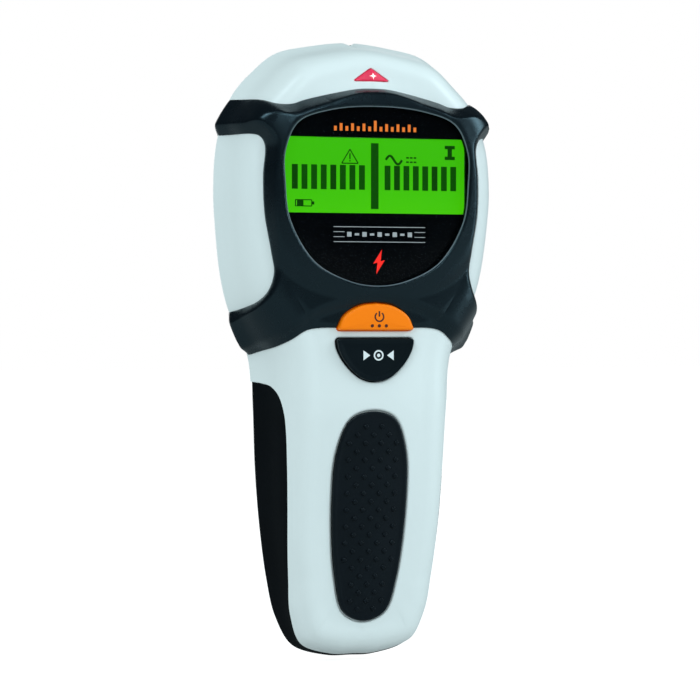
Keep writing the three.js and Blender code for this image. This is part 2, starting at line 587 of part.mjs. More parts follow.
// The sensor: a board with two plates behind it and a coil on its front.
function sensorBoard() {
  return prism(roundedBox(0, 0, 62, 64, 4), SENSOR_BACK, SENSOR_BACK + SENSOR_THICK, 4);
}
piece(housing, 'sensor_board', sensorBoard(), BOARD_GREEN, 0.5);
for (const [name, side] of [['left', -1], ['right', 1]]) {
  piece(housing, `sensing_plate_${name}`, block(side * 15.5, 0, 27, 56, 3.1, SENSOR_BACK - GAP),
    0xc07a45, 0.35, 0.9);
}
function ring(x, z, innerRadius, outerRadius, near, far, sides = 26) {
  const points = [[innerRadius, near], [innerRadius, far], [outerRadius, far], [outerRadius, near]];
  const geometry = new THREE.LatheGeometry(
    [...points, points[0]].map(([r, d]) => new THREE.Vector2(r, -d)), sides);
  geometry.translate(x, 0, z);
  return solid(geometry);
}
const coilBack = SENSOR_BACK + SENSOR_THICK + GAP;
piece(housing, 'coil_former', ring(0, 0, 15, 16.4, coilBack, coilBack + 5)
  .add(ring(0, 0, 15, 21, coilBack, coilBack + 0.9))
  .add(ring(0, 0, 15, 21, coilBack + 4.1, coilBack + 5)), 0xe8e2d0, 0.6);
piece(housing, 'sensor_coil', ring(0, 0, 16.7, 20.4, coilBack + 1.2, coilBack + 3.8), 0xb4622c, 0.3, 0.8);
boardPart('board_link', -24, -24, 12, 2.5, BOARD_BACK - 2 * GAP - SENSOR_BACK - SENSOR_THICK, BLACK);

// The battery with its two terminals, the snap that sits on them, two leads and a foam block.
const batteryMid = BATTERY_BACK + BATTERY_DEPTH / 2;
const batteryLow = BATTERY_TOP - BATTERY_BODY;
function post(x, radius, low, high) {
  const geometry = new THREE.CylinderGeometry(radius, radius, high - low, 20);
  geometry.rotateX(Math.PI / 2);
  geometry.translate(x, -batteryMid, (low + high) / 2);
  return solid(geometry);
}
piece(housing, 'battery', solid(prism(roundedBox(0, (BATTERY_TOP + batteryLow) / 2, BATTERY_WIDTH,
  BATTERY_BODY, 1.2), BATTERY_BACK, BATTERY_BACK + BATTERY_DEPTH, 3))
  .add(post(-TERMINAL_X, 2.9, BATTERY_TOP - 0.5, BATTERY_TOP + 2.2))
  .add(post(TERMINAL_X, 3.8, BATTERY_TOP - 0.5, BATTERY_TOP + 2.2)), 0x2d3a66, 0.35);
piece(housing, 'battery_snap', solid(block(0, BATTERY_TOP + 2.75, 25, 4.9, BATTERY_BACK + 2.9,
  BATTERY_BACK + BATTERY_DEPTH - 2.6))
  .subtract(post(-TERMINAL_X, 3.2, BATTERY_TOP - 1, BATTERY_TOP + 2.5))
  .subtract(post(TERMINAL_X, 4.1, BATTERY_TOP - 1, BATTERY_TOP + 2.5)), 0x1b1b1d, 0.6);
piece(housing, 'battery_foam', block(0, BATTERY_TOP - BATTERY_BODY - GAP - 0.4, 20, 0.8, 5, 17), 0x4a4a4a, 0.9);

function lead(name, side, colour) {
  const route = new THREE.CatmullRomCurve3([
    [side * 9.6, 9, BATTERY_TOP + 5.5], [side * 9.7, 9.4, BATTERY_TOP + 8.5],
    [side * 12.5, 11.5, -53], [side * 13.5, 14, -49], [side * 13.5, BOARD_BACK - GAP, -48],
  ].map(([x, depth, z]) => new THREE.Vector3(x, -depth, z)));
  const section = new THREE.Shape().absarc(0, 0, 0.75, 0, 2 * Math.PI, false);
  piece(housing, name, new THREE.ExtrudeGeometry(section, {
    steps: 12, curveSegments: 4, extrudePath: route, bevelEnabled: false,
  }), colour, 0.5);
}
lead('red_lead', 1, 0xb02020);
lead('black_lead', -1, 0x18181a);

// Cover of the battery bay: a flat panel with a barrel at its lower edge and a catch at its top.
function batteryCover() {
  const low = HINGE_Z;
  const panel = solid(block(0, (DOOR_TOP + low) / 2, 2 * DOOR_HALF_WIDTH, DOOR_TOP - low,
    SHELL_BACK, SHELL_BACK + DOOR_THICK));
  const catchTongue = solid(block(0, DOOR_TOP - 1.6, 9, 1.2, SHELL_BACK + 1, SHELL_BACK + 4.6))
    .add(solid(block(0, DOOR_TOP - 0.9, 9, 1.4, SHELL_BACK + 3.4, SHELL_BACK + 4.6)));
  const lugRoom = (side) => solid(block(side * 14.1, HINGE_Z, 4, 8, 0, 12));
  return panel.add(solid(bar(BARREL_RADIUS, 11.8, HINGE_DEPTH, HINGE_Z, 24)))
    .add(catchTongue)
    .subtract(lugRoom(1)).subtract(lugRoom(-1))
    .subtract(solid(bar(PIN_RADIUS + 0.3, 20, HINGE_DEPTH, HINGE_Z, 16)));
}
piece(batteryDoor, 'battery_cover', batteryCover(), BLACK, 0.6);
piece(housing, 'hinge_pin', bar(PIN_RADIUS, 14, HINGE_DEPTH, HINGE_Z, 16), STEEL, 0.3, 0.9);

// Pan-head screws: a domed head with a cross recess, and a plain shank.
function screw(x, z, headBack, headRadius, shankRadius, length) {
  const head = solid(disc(x, z, headRadius, headBack, headBack + 1.2, 14));
  const shank = solid(disc(x, z, shankRadius, headBack + 1, headBack + 1.2 + length, 8));
  const slots = solid(block(x, z, 0.7, 2 * headRadius - 1.6, headBack - 1, headBack + 0.7))
    .add(solid(block(x, z, 2 * headRadius - 1.6, 0.7, headBack - 1, headBack + 0.7)));
  return head.add(shank).subtract(slots);
}
mirroredSpots(HEAD_SCREWS).forEach(([x, z], i) => {
  piece(housing, `case_screw_${i + 1}`, screw(x, z, 0.45, 2.5, 1.2, 10), STEEL, 0.3, 0.9);
});
piece(housing, 'case_screw_5', screw(0, HANDLE_SCREW_Z, 5.1, 2.5, 1.2, 8), STEEL, 0.3, 0.9);
mirroredSpots(BOARD_POSTS).forEach(([x, z], i) => {
  piece(housing, `board_screw_${i + 1}`, screw(x, z, BOARD_BACK - GAP - 1.2, 1.9, 0.65, 5.5),
    STEEL, 0.3, 0.9);
});

const group = new THREE.Group();
group.name = 'stud_finder';
group.add(housing, modeKey, calKey, batteryDoor);
export default group;
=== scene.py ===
import math

import bmesh
import bpy
import numpy as np
from mathutils import Matrix, Vector
from mathutils.bvhtree import BVHTree


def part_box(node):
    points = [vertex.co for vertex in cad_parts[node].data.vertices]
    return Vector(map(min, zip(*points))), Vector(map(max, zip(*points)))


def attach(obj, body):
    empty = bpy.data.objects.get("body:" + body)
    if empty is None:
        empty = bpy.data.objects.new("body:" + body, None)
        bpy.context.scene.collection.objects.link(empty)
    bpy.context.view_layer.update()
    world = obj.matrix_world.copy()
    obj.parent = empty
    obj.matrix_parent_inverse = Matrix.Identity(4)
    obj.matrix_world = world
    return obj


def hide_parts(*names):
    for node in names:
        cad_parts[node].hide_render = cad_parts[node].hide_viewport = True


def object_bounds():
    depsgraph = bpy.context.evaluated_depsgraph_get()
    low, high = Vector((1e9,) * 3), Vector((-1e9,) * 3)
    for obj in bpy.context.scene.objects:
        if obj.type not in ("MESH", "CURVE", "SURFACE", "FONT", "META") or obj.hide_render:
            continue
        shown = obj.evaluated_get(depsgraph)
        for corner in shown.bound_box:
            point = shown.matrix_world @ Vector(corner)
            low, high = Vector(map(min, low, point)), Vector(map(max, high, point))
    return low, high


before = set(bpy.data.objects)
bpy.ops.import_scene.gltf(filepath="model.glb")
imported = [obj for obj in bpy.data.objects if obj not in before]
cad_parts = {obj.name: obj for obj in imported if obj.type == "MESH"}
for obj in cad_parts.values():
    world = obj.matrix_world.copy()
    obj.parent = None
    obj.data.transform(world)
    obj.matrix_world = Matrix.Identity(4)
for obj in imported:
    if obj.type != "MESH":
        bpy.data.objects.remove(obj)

CAD_BOX = [list(corner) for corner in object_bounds()]
MM = 0.001

# A stud finder. Helper functions work in millimetres: x to the right, z up, and depth, which is the
# distance in front of the flat sensing face at y = 0. Meshes are stored in metres.

# ------------------------------------------------------------------ driving dimensions
WALL = 2.2
SHELL_BACK = 0.4
FRAME_BACK = 4.6
FRAME_SINK = 0.15
PAD_RECESS = 1.2
PAD_RISE = 0.7
KEY_GAP = 0.3
SHANK_HOLE = 1.5
SHELL_STEP = 0.7
SMOOTHING = 3

# Body stations down the right half: x, z of the widest outline, inset of the front edge,
# depth of the front edge, depth of the widest line.
STATIONS = np.array([
    [0, 49.4, 8, 24.9, 2.7], [14, 47.9, 9, 24.9, 2.7], [25.9, 45, 10, 25, 2.7], [35, 37.4, 10.5, 25.2, 3],
    [41.8, 29.3, 11, 25.5, 5.4], [46.8, 15.4, 11, 26, 7.6], [48.1, 0, 11, 26.2, 8.2],
    [47.4, -11.5, 11, 26.4, 7.6], [45.2, -27.9, 11.2, 26.5, 6.2], [42.1, -38.9, 11.8, 26.8, 5.2],
    [37.2, -48.5, 12.3, 27, 4.6], [34.9, -56, 12.6, 27, 4.4], [34.1, -70, 12.3, 26.4, 4.4],
    [33.5, -90, 12, 24, 4.8], [32.1, -108, 11, 21.8, 4.8], [29.4, -127, 10.3, 19.6, 4.4],
    [26.3, -139.3, 8.4, 18.4, 4], [20.4, -149, 7.2, 17.7, 4], [8, -152.9, 7.4, 17.5, 4],
    [0, -153.1, 7.4, 17.5, 4],
])
# z and depth of the front along the middle, from the bottom up.
SPINE = np.array([
    [-142.5, 17.4], [-135, 19.2], [-125, 21], [-115, 22.5], [-100, 24.5], [-71.5, 27.8], [-60, 28.6],
    [-40, 28.5], [0, 28.3], [28, 28], [33, 26.9], [38.6, 24.9],
])
# z and depth of the joint between the front and rear shells, from the top down.
PARTING = [
    (60, 3), (0, 3), (-56, 3), (-61.5, 3), (-62.6, 8), (-63.6, 13), (-66.5, 17.4), (-71, 19.3), (-78, 19.9),
    (-100, 18.5), (-120, 15.5), (-133, 13), (-140, 11.4), (-146.5, 9.4), (-150, 7.6), (-160, 4),
]
# Inset and rise of the flank, as parts of the way from the widest line to the front edge.
FLANK = [(0, 0), (0.25, 0.3), (0.445, 0.655), (0.7, 0.88), (1, 0.972), (1.35, 1)]
# The side wall leans in behind the widest line by this much per millimetre.
BACK_DRAFT = 0.3
BACK_EDGE = 2.2
# Outlines of the frame, window, buttons and pad seen from the front, right halves.
FRAME_TOP = [(0, 32.5), (5, 32.35), (12, 31.1), (23, 28.5), (27, 27.2), (32, 27.2), (37, 28.8), (56, 29.8)]
FRAME_SIDE_CUT = [
    (56, 17.8), (45.9, 17.6), (38.2, 17), (36.4, 14.2), (37, 4), (36.6, -8), (34.5, -20),
    (33.5, -27), (35.5, -33.7), (39.7, -38.5), (46, -40.5), (56, -41.5),
]
FRAME_BOTTOM = [(56, -56), (37, -54), (33.5, -52.4), (27.4, -48.4), (22, -45.1), (0, -45.1)]
ARCH = [(0, -33.3), (7, -33.8), (14, -35.4), (19.7, -37.6), (25.2, -41.4), (32.6, -47.2), (40, -52)]
LIP = [
    (0, 26.7), (16, 25.3), (27, 21.2), (31.4, 12), (31.5, 2), (29.8, -10.3), (21.5, -23.6),
    (10, -29.7), (0, -31.3),
]
MODE_KEY = [(0, -36.7), (5.5, -37.5), (10.8, -40.7), (13.05, -45.3)]
CAL_KEY = [(13.2, -48), (12.5, -51.6), (9.8, -56.2), (5.7, -60.1), (2.6, -61.5), (0, -61.8)]
PAD = [(0, -71.5), (7.4, -73.9), (11.7, -84), (12.7, -100), (10.6, -125.5), (7, -137), (0, -140)]


# ------------------------------------------------------------------ curves
def unit(vectors):
    return vectors / np.linalg.norm(vectors, axis=1)[:, None]


def turned_left(vectors):
    return np.stack([-vectors[:, 1], vectors[:, 0]], axis=1)


def softened(values, width, mode):
    """A run of values blurred by a raised cosine."""
    kernel = np.hanning(width)
    return np.convolve(np.pad(values, width // 2, mode=mode), kernel / kernel.sum(), mode="valid")


def catmull(points, count, closed=False):
    """Points along a centripetal Catmull-Rom curve through the given ones, even in its parameter."""
    points = np.asarray(points, float)
    total = len(points)
    spans = total if closed else total - 1
    out = []
    for t in np.arange(count) / (count if closed else count - 1):
        where = min(t * spans, spans - 1e-9)
        i = int(where)
        w = where - i
        if closed:
            p0, p1, p2, p3 = (points[(i + k) % total] for k in (-1, 0, 1, 2))
        else:
            p1, p2 = points[i], points[i + 1]
            p0 = points[i - 1] if i > 0 else 2 * p1 - p2
            p3 = points[i + 2] if i + 2 < total else 2 * p2 - p1
        d0, d1, d2 = (max(np.linalg.norm(b - a), 1e-6) ** 0.5 for a, b in ((p0, p1), (p1, p2), (p2, p3)))
        m1 = ((p1 - p0) / d0 - (p2 - p0) / (d0 + d1) + (p2 - p1) / d1) * d1
        m2 = ((p2 - p1) / d1 - (p3 - p1) / (d1 + d2) + (p3 - p2) / d2) * d1
        out.append(p1 + m1 * w + (3 * (p2 - p1) - 2 * m1 - m2) * w ** 2
                   + (2 * (p1 - p2) + m1 + m2) * w ** 3)
    return np.array(out)


def resample(points, spacing, closed=True):
    """The same run of points, evenly spaced along its length."""
    points = np.asarray(points, float)
    ends = np.vstack([points, points[:1]]) if closed else points
    steps = np.linalg.norm(np.diff(ends, axis=0), axis=1)
    along = np.concatenate([[0], np.cumsum(steps)])
    count = max(int(round(along[-1] / spacing)), 8)
    at = np.linspace(0, along[-1], count, endpoint=not closed)
    return np.stack([np.interp(at, along, ends[:, k]) for k in range(points.shape[1])], axis=1)


def curve(points, spacing, count=300):
    """A smooth open curve through the points, evenly sampled."""
    return resample(catmull(points, count), spacing, closed=False)


def mirror_loop(run):
    """A closed clockwise loop from a right-hand run that starts and ends at or near the axis."""
    run = np.asarray(run, float)
    left = run[run[:, 0] > 1e-6][::-1] * [-1, 1]
    return np.vstack([run, left])


def smooth_loop(half, spacing):
    """A smooth closed loop through a right half and its mirror image."""
    right = np.asarray(half, float)
    left = right[1:-1][::-1] * [-1, 1]
    return resample(catmull(np.vstack([right, left]), 400, closed=True), spacing)


def offset(loop, amount):
    """A clockwise closed loop moved outwards."""
    before = unit(loop - np.roll(loop, 1, axis=0))
    after = unit(np.roll(loop, -1, axis=0) - loop)
    along = unit(before + after)
    reach = amount / np.maximum((along * before).sum(1), 0.5)
    return loop + turned_left(along) * reach[:, None]


def soften(loop, corners, reach, steps=6):
    """A loop whose named corner points are replaced by round corners."""
    loop = np.asarray(loop, float)
    gone = np.zeros(len(loop), bool)
    arcs = {}
    for corner in corners:
        c = int(np.argmin(np.linalg.norm(loop - corner, axis=1)))
        tip = loop[c]
        ends = []
        for way in (-1, 1):
            k = c
            gone[k] = True
            while np.linalg.norm(loop[(k + way) % len(loop)] - tip) < reach:
                k = (k + way) % len(loop)
                gone[k] = True
            nxt = loop[(k + way) % len(loop)]
            ends.append(tip + (nxt - tip) * reach / np.linalg.norm(nxt - tip))
        t = np.linspace(0, 1, steps)[:, None]
        arcs[c] = (1 - t) ** 2 * ends[0] + 2 * t * (1 - t) * tip + t ** 2 * ends[1]
    out = []
    for i, point in enumerate(loop):
        if i in arcs:
            out.extend(arcs[i])
        elif not gone[i]:
            out.append(point)
    return np.array(out)


def distance(points, run):
    """Shortest distance from each point to an open run of points."""
    best = np.full(len(points), 1e9)
    for a, b in zip(run[:-1], run[1:]):
        span = b - a
        t = np.clip(((points - a) @ span) / max(span @ span, 1e-12), 0, 1)
        best = np.minimum(best, np.linalg.norm(points - a - t[:, None] * span, axis=1))
    return best


# ------------------------------------------------------------------ mesh helpers
def add_object(name, data):
    obj = bpy.data.objects.new(name, data)
    bpy.context.scene.collection.objects.link(obj)
    return obj


def make(name, verts, faces):
    """A mesh object from millimetre points and faces, its normals turned outwards."""
    mesh = bpy.data.meshes.new(name)
    mesh.from_pydata((np.asarray(verts, float) * MM).tolist(), [], [list(map(int, f)) for f in faces])
    bm = bmesh.new()
    bm.from_mesh(mesh)
    bmesh.ops.recalc_face_normals(bm, faces=bm.faces)
    bm.to_mesh(mesh)
    bm.free()
    return add_object(name, mesh)


def place(loop, depth):
    """Loop points in x and z, with a depth or one depth each, as x, y, z."""
    return np.stack([loop[:, 0], -np.broadcast_to(depth, len(loop)), loop[:, 1]], axis=1)


def bands(rings, count, joined=False):
    """Quads from each ring of points to the next, and from the last to the first when joined."""
    faces = []
    for r in range(rings if joined else rings - 1):
        s = (r + 1) % rings
        for i in range(count):
            j = (i + 1) % count
            faces.append((r * count + i, s * count + i, s * count + j, r * count + j))
    return faces


def loft(rings, joined=False):
    """Skins a list of rings of equal length, with flat ends, or round to the first when joined."""
    count = len(rings[0])
    faces = bands(len(rings), count, joined)
    if not joined:
        faces += [range(count), range((len(rings) - 1) * count, len(rings) * count)]
    return make("loft", np.vstack(rings), faces)


def stepped(loop, profile, joined=False):
    """A loft whose rings are an outline at each offset and depth of a profile."""
    return loft([place(offset(loop, out), depth) for out, depth in profile], joined)


def prism(loop, near, far):
    return loft([place(loop, near), place(loop, far)])


def rectangle(x, z, width, height):
    corners = ((-1, -1), (-1, 1), (1, 1), (1, -1))
    return np.array([(x + sx * width / 2, z + sz * height / 2) for sx, sz in corners])


def box(x, z, width, height, near, far):
    return prism(rectangle(x, z, width, height), near, far)


def circle(x, z, radius, sides=48):
    turn = -np.arange(sides) * 2 * math.pi / sides
    return np.stack([x + radius * np.cos(turn), z + radius * np.sin(turn)], axis=1)


def round_box(x, z, width, height, radius, steps=8):
    """A clockwise rectangle with round corners."""
    out = []
    corners = [(1, 1, 90), (1, -1, 0), (-1, -1, -90), (-1, 1, -180)]
    for sx, sz, start in corners:
        cx = x + sx * (width / 2 - radius)
        cz = z + sz * (height / 2 - radius)
        for k in range(steps + 1):
            a = math.radians(start - 90 * k / steps)
            out.append((cx + radius * math.cos(a), cz + radius * math.sin(a)))
    return np.array(out)


def lathe(profile, x, z, sides=48):
    """A closed solid turned about an axis along depth; profile holds radius and depth pairs."""
    return loft([place(circle(x, z, max(radius, 0.01), sides), depth) for radius, depth in profile])


def quarter(steps):
    """Sine and cosine along a quarter turn."""
    return [(math.sin(a), math.cos(a)) for a in np.linspace(0, math.pi / 2, steps + 1)]


def boolean(obj, others, operation):
    """Applies a boolean with each of the others, which are used up."""
    for other in others:
        mod = obj.modifiers.new("boolean", "BOOLEAN")
        mod.operation = operation
        mod.solver = "MANIFOLD"
        mod.object = other
        bpy.context.view_layer.update()
        graph = bpy.context.evaluated_depsgraph_get()
        mesh = bpy.data.meshes.new_from_object(obj.evaluated_get(graph))
        obj.modifiers.clear()
        old, obj.data = obj.data, mesh
        bpy.data.meshes.remove(old)
        if not mesh.polygons:
            raise RuntimeError(f"{operation} left nothing of {obj.name}")
        discard(other)
    return obj


def cut(obj, *others):
    return boolean(obj, others, "DIFFERENCE")


def join(obj, *others):
    return boolean(obj, others, "UNION")


def common(obj, *others):
    return boolean(obj, others, "INTERSECT")


def discard(obj):
    mesh = obj.data
    bpy.data.objects.remove(obj)
    bpy.data.meshes.remove(mesh)


def copy_of(obj):
    return add_object("copy", obj.data.copy())


def smoothed(obj, low, high, rounds, depth=0.004):
    """Evens out an object between two heights, in metres, in front of a depth."""
    bm = bmesh.new()
    bm.from_mesh(obj.data)
    worked = [vert for vert in bm.verts if low < vert.co.z < high and vert.co.y < -depth]
    for _ in range(rounds):
        bmesh.ops.smooth_vert(bm, verts=worked, factor=0.5, use_axis_x=True, use_axis_y=True,
                              use_axis_z=True)
    bm.to_mesh(obj.data)
    bm.free()
    obj.data.update()
    return obj


def surface_of(obj):
    """A function that gives the front depth of an object at x and z, in millimetres."""
    bm = bmesh.new()
    bm.from_mesh(obj.data)
    tree = BVHTree.FromBMesh(bm)
    bm.free()

    def depth(points):
        out = []
        for x, z in points:
            hit = tree.ray_cast(Vector((x * MM, -0.1, z * MM)), Vector((0, 1, 0)))
            out.append(-hit[0].y / MM if hit[0] is not None else 0.0)
        return np.array(out)
    return depth


def ring_cutter(loop, section, surface, reach):
    """A closed ring swept round a loop. Section points hold an offset outwards and a height over
    the surface, whose depth is read on the loop and again a reach outside it."""
    here = surface(loop)
    there = surface(offset(loop, reach))
    profile = [(out, here + (there - here) * np.clip(out / reach, -1, 1.5) + up) for out, up in section]
    return stepped(loop, profile, joined=True)


def fillet_section(radius, steps=5, margin=1.0):
    """Section of a cutter that rounds the rim of an opening."""
    arc = [(radius * (1 - c), -radius * (1 - s)) for s, c in quarter(steps)]
    return [(-margin, -radius), *arc, (radius + 0.05, 0.05), (radius + 0.05, margin), (-margin, margin)]


def finish_piece(obj, name, slot_name, finish, *nodes, body_name="housing", angle=32):
    """Names and shades a piece, gives it its material, and hangs it on its body."""
    obj.name = name
    obj.data.name = name
    obj.data.materials.clear()
    obj.data.materials.append(finish)
    obj.data.polygons.foreach_set("use_smooth", [True] * len(obj.data.polygons))
    obj.data.set_sharp_from_angle(angle=math.radians(angle))
    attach(obj, body_name)
    if nodes:
        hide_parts(*nodes)
    return obj


class Extent:
    """A CAD node's box in millimetres: near and far are its least and greatest depth."""

    def __init__(self, node):
        low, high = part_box(node)
        self.left, self.right = low.x / MM, high.x / MM
        self.low, self.high = low.z / MM, high.z / MM
        self.near, self.far = -high.y / MM, -low.y / MM
        self.width, self.height = self.right - self.left, self.high - self.low
        self.x, self.z = (self.left + self.right) / 2, (self.low + self.high) / 2
        self.depth = (self.near + self.far) / 2


# ------------------------------------------------------------------ the body's form
def spine_depth(z):
    """Depth of the front along the middle, smoothed through its points."""
    z = np.asarray(z, float)
    grid = np.linspace(-160, 60, 881)
    raw = np.interp(grid, SPINE[:, 0], SPINE[:, 1])
    return np.interp(z, grid, softened(raw, 49, "edge"))


def half_outline(count):
    """Evenly spaced stations down the right half: place, outward direction and station values."""
    right = STATIONS[:, :2]
    loop = np.vstack([right, right[1:-1][::-1] * [-1, 1]])
    spans = 2 * (len(STATIONS) - 1)
    fine = catmull(loop, spans * 60, closed=True)
    outward = turned_left(unit(np.roll(fine, -1, axis=0) - np.roll(fine, 1, axis=0)))
    half = slice(0, spans * 30 + 1)
    steps = np.linalg.norm(np.diff(fine[half], axis=0), axis=1)
    along = np.concatenate([[0], np.cumsum(steps)])
    index = np.linspace(0, len(STATIONS) - 1, spans * 30 + 1)
    values = [softened(np.interp(index, range(len(STATIONS)), column), 61, "reflect")
              for column in STATIONS.T[2:]]
    at = np.linspace(0, along[-1], count + 1)
    columns = (*fine[half].T, *outward[half].T, *values)
    return np.stack([np.interp(at, along, column) for column in columns], axis=1)


def back_lean(widest):
    """How far the back edge lies inside the widest outline."""
    return BACK_DRAFT * np.maximum(widest - SHELL_BACK - BACK_EDGE, 0)


def body(side=0.0, front=0.0, back=0.0, loops=250, across=30, flank=16):
    """The whole body as one solid, grown at its sides, front and back."""
    rows = half_outline(loops)
    base = SHELL_BACK - back
    inset, front_depth, widest = rows[:, 4], rows[:, 5], rows[:, 6]
    wide = np.maximum(widest, base + BACK_EDGE + 0.1)
    lean = back_lean(widest)
    rings = []
    for s, c in quarter(5):
        rings.append((BACK_EDGE * (1 - s) + lean, np.full(loops + 1, base + BACK_EDGE * (1 - c))))
    for a, b in catmull(FLANK, flank + 1):
        rings.append((a * inset, wide + b * (front_depth + front - wide)))
    verts = []
    count = 2 * loops
    for gone, depth in rings:
        reach = side - gone
        x = np.maximum(rows[:, 0] + rows[:, 2] * reach, 0.01)
        x[0] = x[-1] = 0
        z = rows[:, 1] + rows[:, 3] * reach
        right = np.stack([x, -depth, z], axis=1)
        verts.extend(right)
        verts.extend(right[1:-1][::-1] * [-1, 1, 1])
    faces = bands(len(rings), count)
    cap(verts, faces, 0, loops, across, None)
    cap(verts, faces, (len(rings) - 1) * count, loops, across, front)
    return make("body", verts, faces)


def cap(verts, faces, start, last, across, front):
    """Closes a ring with rows from its right half to its left half, flat or crowned to the spine."""
    edge = np.array(verts[start:start + last + 1])
    columns = 2 * across
    above = [start]
    for j in range(1, last + 1):
        if j == last:
            row = [start + last]
        else:
            row = [start + j]
            spine_z = edge[0, 2] + (edge[last, 2] - edge[0, 2]) * j / last
            for c in range(1, columns):
                t = 1 - 2 * c / columns
                z = spine_z + (edge[j, 2] - spine_z) * t * t
                y = edge[j, 1]
                if front is not None:
                    y += (-(float(spine_depth(z)) + front) - y) * (1 - t * t)
                row.append(len(verts))
                verts.append(np.array([edge[j, 0] * t, y, z]))
            row.append(start + 2 * last - j)
        for c in range(columns):
            ring = [above[min(c, len(above) - 1)], above[min(c + 1, len(above) - 1)],
                    row[min(c + 1, len(row) - 1)], row[min(c, len(row) - 1)]]
            face = [v for k, v in enumerate(ring) if v != ring[k - 1]]
            if len(face) > 2:
                faces.append(face)
        above = row


def side_prism(profile, reach):
    """A bar along x over a profile of z and depth pairs."""
    n = len(profile)
    verts = [(x, -depth, z) for x in (-reach, reach) for z, depth in profile]
    sides = [(i, (i + 1) % n, n + (i + 1) % n, n + i) for i in range(n)]
    return make("bar", verts, [range(n), range(n, 2 * n), *sides])


def behind_parting(forward):
    """Everything on the back side of the joint between the shells, moved forward by an amount."""
    line = curve(PARTING, 0.8, 400)
    return side_prism([(60, -20), *[(z, depth + forward) for z, depth in line], (-160, -20)], 70)


# ------------------------------------------------------------------ materials
def noise(tree, scale, detail):
    """The value of a noise laid over the object's own coordinates."""
    spot = tree.nodes.new("ShaderNodeTexCoord")
    node = tree.nodes.new("ShaderNodeTexNoise")
    node.inputs["Scale"].default_value = scale
    node.inputs["Detail"].default_value = detail
    tree.links.new(spot.outputs["Object"], node.inputs["Vector"])
    return node.outputs["Fac"]


def ramp(tree, value, *stops):
    """A colour that runs between two stops, each a position and a colour."""
    node = tree.nodes.new("ShaderNodeValToRGB")
    for element, (position, colour) in zip(node.color_ramp.elements, stops):
        element.position = position
        element.color = (*colour, 1)
    tree.links.new(value, node.inputs["Fac"])
    return node.outputs["Color"]


def stretch(tree, value, settings):
    """A value mapped from one range to another."""
    node = tree.nodes.new("ShaderNodeMapRange")
    for socket, limit in settings.items():
        node.inputs[socket].default_value = limit
    tree.links.new(value, node.inputs["Value"])
    return node.outputs["Result"]


def material(name, colour, roughness, grain=0, bump=0.15, vary=0.05, vary_scale=60, rough_vary=0.0,
             metallic=0.0, coat=0.0, specular=0.5, alpha=1.0, tint=(1, 1, 1), glow=(1, 1, 1),
             glow_strength=0.0):
    """A procedural finish: a colour that drifts a little, uneven roughness and a fine grain."""
    mat = bpy.data.materials.new(name)
    mat.use_nodes = True
    tree = mat.node_tree
    shader = tree.nodes["Principled BSDF"]
    settings = {
        "Base Color": (*colour, 1), "Roughness": roughness, "Metallic": metallic, "Coat Weight": coat,
        "Coat Roughness": 0.1, "Specular IOR Level": specular, "Specular Tint": (*tint, 1),
        "Alpha": alpha, "Emission Color": (*glow, 1), "Emission Strength": glow_strength,
    }
    for socket, value in settings.items():
        shader.inputs[socket].default_value = value
    dark = [c * (1 - vary) for c in colour]
    light = [min(c * (1 + vary), 1) for c in colour]
    drift = ramp(tree, noise(tree, vary_scale, 4), (0.3, dark), (0.7, light))
    tree.links.new(drift, shader.inputs["Base Color"])
    if rough_vary:
        limits = {"To Min": max(roughness - rough_vary, 0.02), "To Max": min(roughness + rough_vary, 1)}
        tree.links.new(stretch(tree, noise(tree, 140, 6), limits), shader.inputs["Roughness"])
    if grain:
        relief = tree.nodes.new("ShaderNodeBump")
        relief.inputs["Strength"].default_value = bump
        relief.inputs["Distance"].default_value = 0.0001
        tree.links.new(noise(tree, grain, 3), relief.inputs["Height"])
        tree.links.new(relief.outputs["Normal"], shader.inputs["Normal"])
    return mat


WHITE = material("white_shell", (0.80, 0.835, 0.845), 0.34, 2600, 0.10, 0.012, 25, rough_vary=0.05)
BLACK = material("black_shell", (0.0022, 0.0034, 0.0050), 0.44, 3600, 0.35, 0.12, 80, rough_vary=0.06,
                 specular=0.1)
RUBBER = material("rubber", (0.0022, 0.0036, 0.0058), 0.27, 4200, 0.14, 0.10, 50, rough_vary=0.05,
                  specular=0.6, tint=(0.55, 0.86, 1.0))
# The lip bead's light blue-grey is a painted highlight line, not the rubber's own colour.
LIP_HIGHLIGHT = material("lip_highlight_bead", (0.11, 0.145, 0.17), 0.28, 4200, 0.08, specular=0.6)
PAD_RUBBER = material("pad_rubber", (0.0016, 0.0034, 0.0060), 0.36, 5200, 0.3, 0.12, 90,
                      rough_vary=0.06, specular=0.3, tint=(0.75, 0.9, 1.0))
GLIDE = material("glide", (0.012, 0.014, 0.016), 0.30, 1800, 0.08, 0.1, rough_vary=0.08)
INK_BLACK = material("window_black", (0.0008, 0.0012, 0.002), 0.12, vary=0.1, rough_vary=0.015,
                     specular=0.15)
PANE = material("window_pane", (0.004, 0.005, 0.006), 0.04, rough_vary=0.01, alpha=0.07, specular=0.4)
# The mode key's faint orange glow is painted light that brightens it; nothing lights the key from inside.
ORANGE = material("orange_key", (0.98, 0.205, 0.002), 0.36, 3000, 0.12, 0.03, 50, rough_vary=0.04,
                  specular=0.3, tint=(1.0, 0.75, 0.5), glow=(1.0, 0.22, 0.0), glow_strength=0.12)
KEY_BLACK = material("black_key", (0.0030, 0.0058, 0.0085), 0.34, 3200, 0.14, 0.1, 70,
                     rough_vary=0.04, specular=0.2, tint=(0.7, 0.92, 1.0))
DARK_INK = material("dark_ink", (0.09, 0.012, 0.004), 0.5, vary=0.08)
WHITE_INK = material("white_ink", (0.80, 0.83, 0.85), 0.42, vary=0.02)
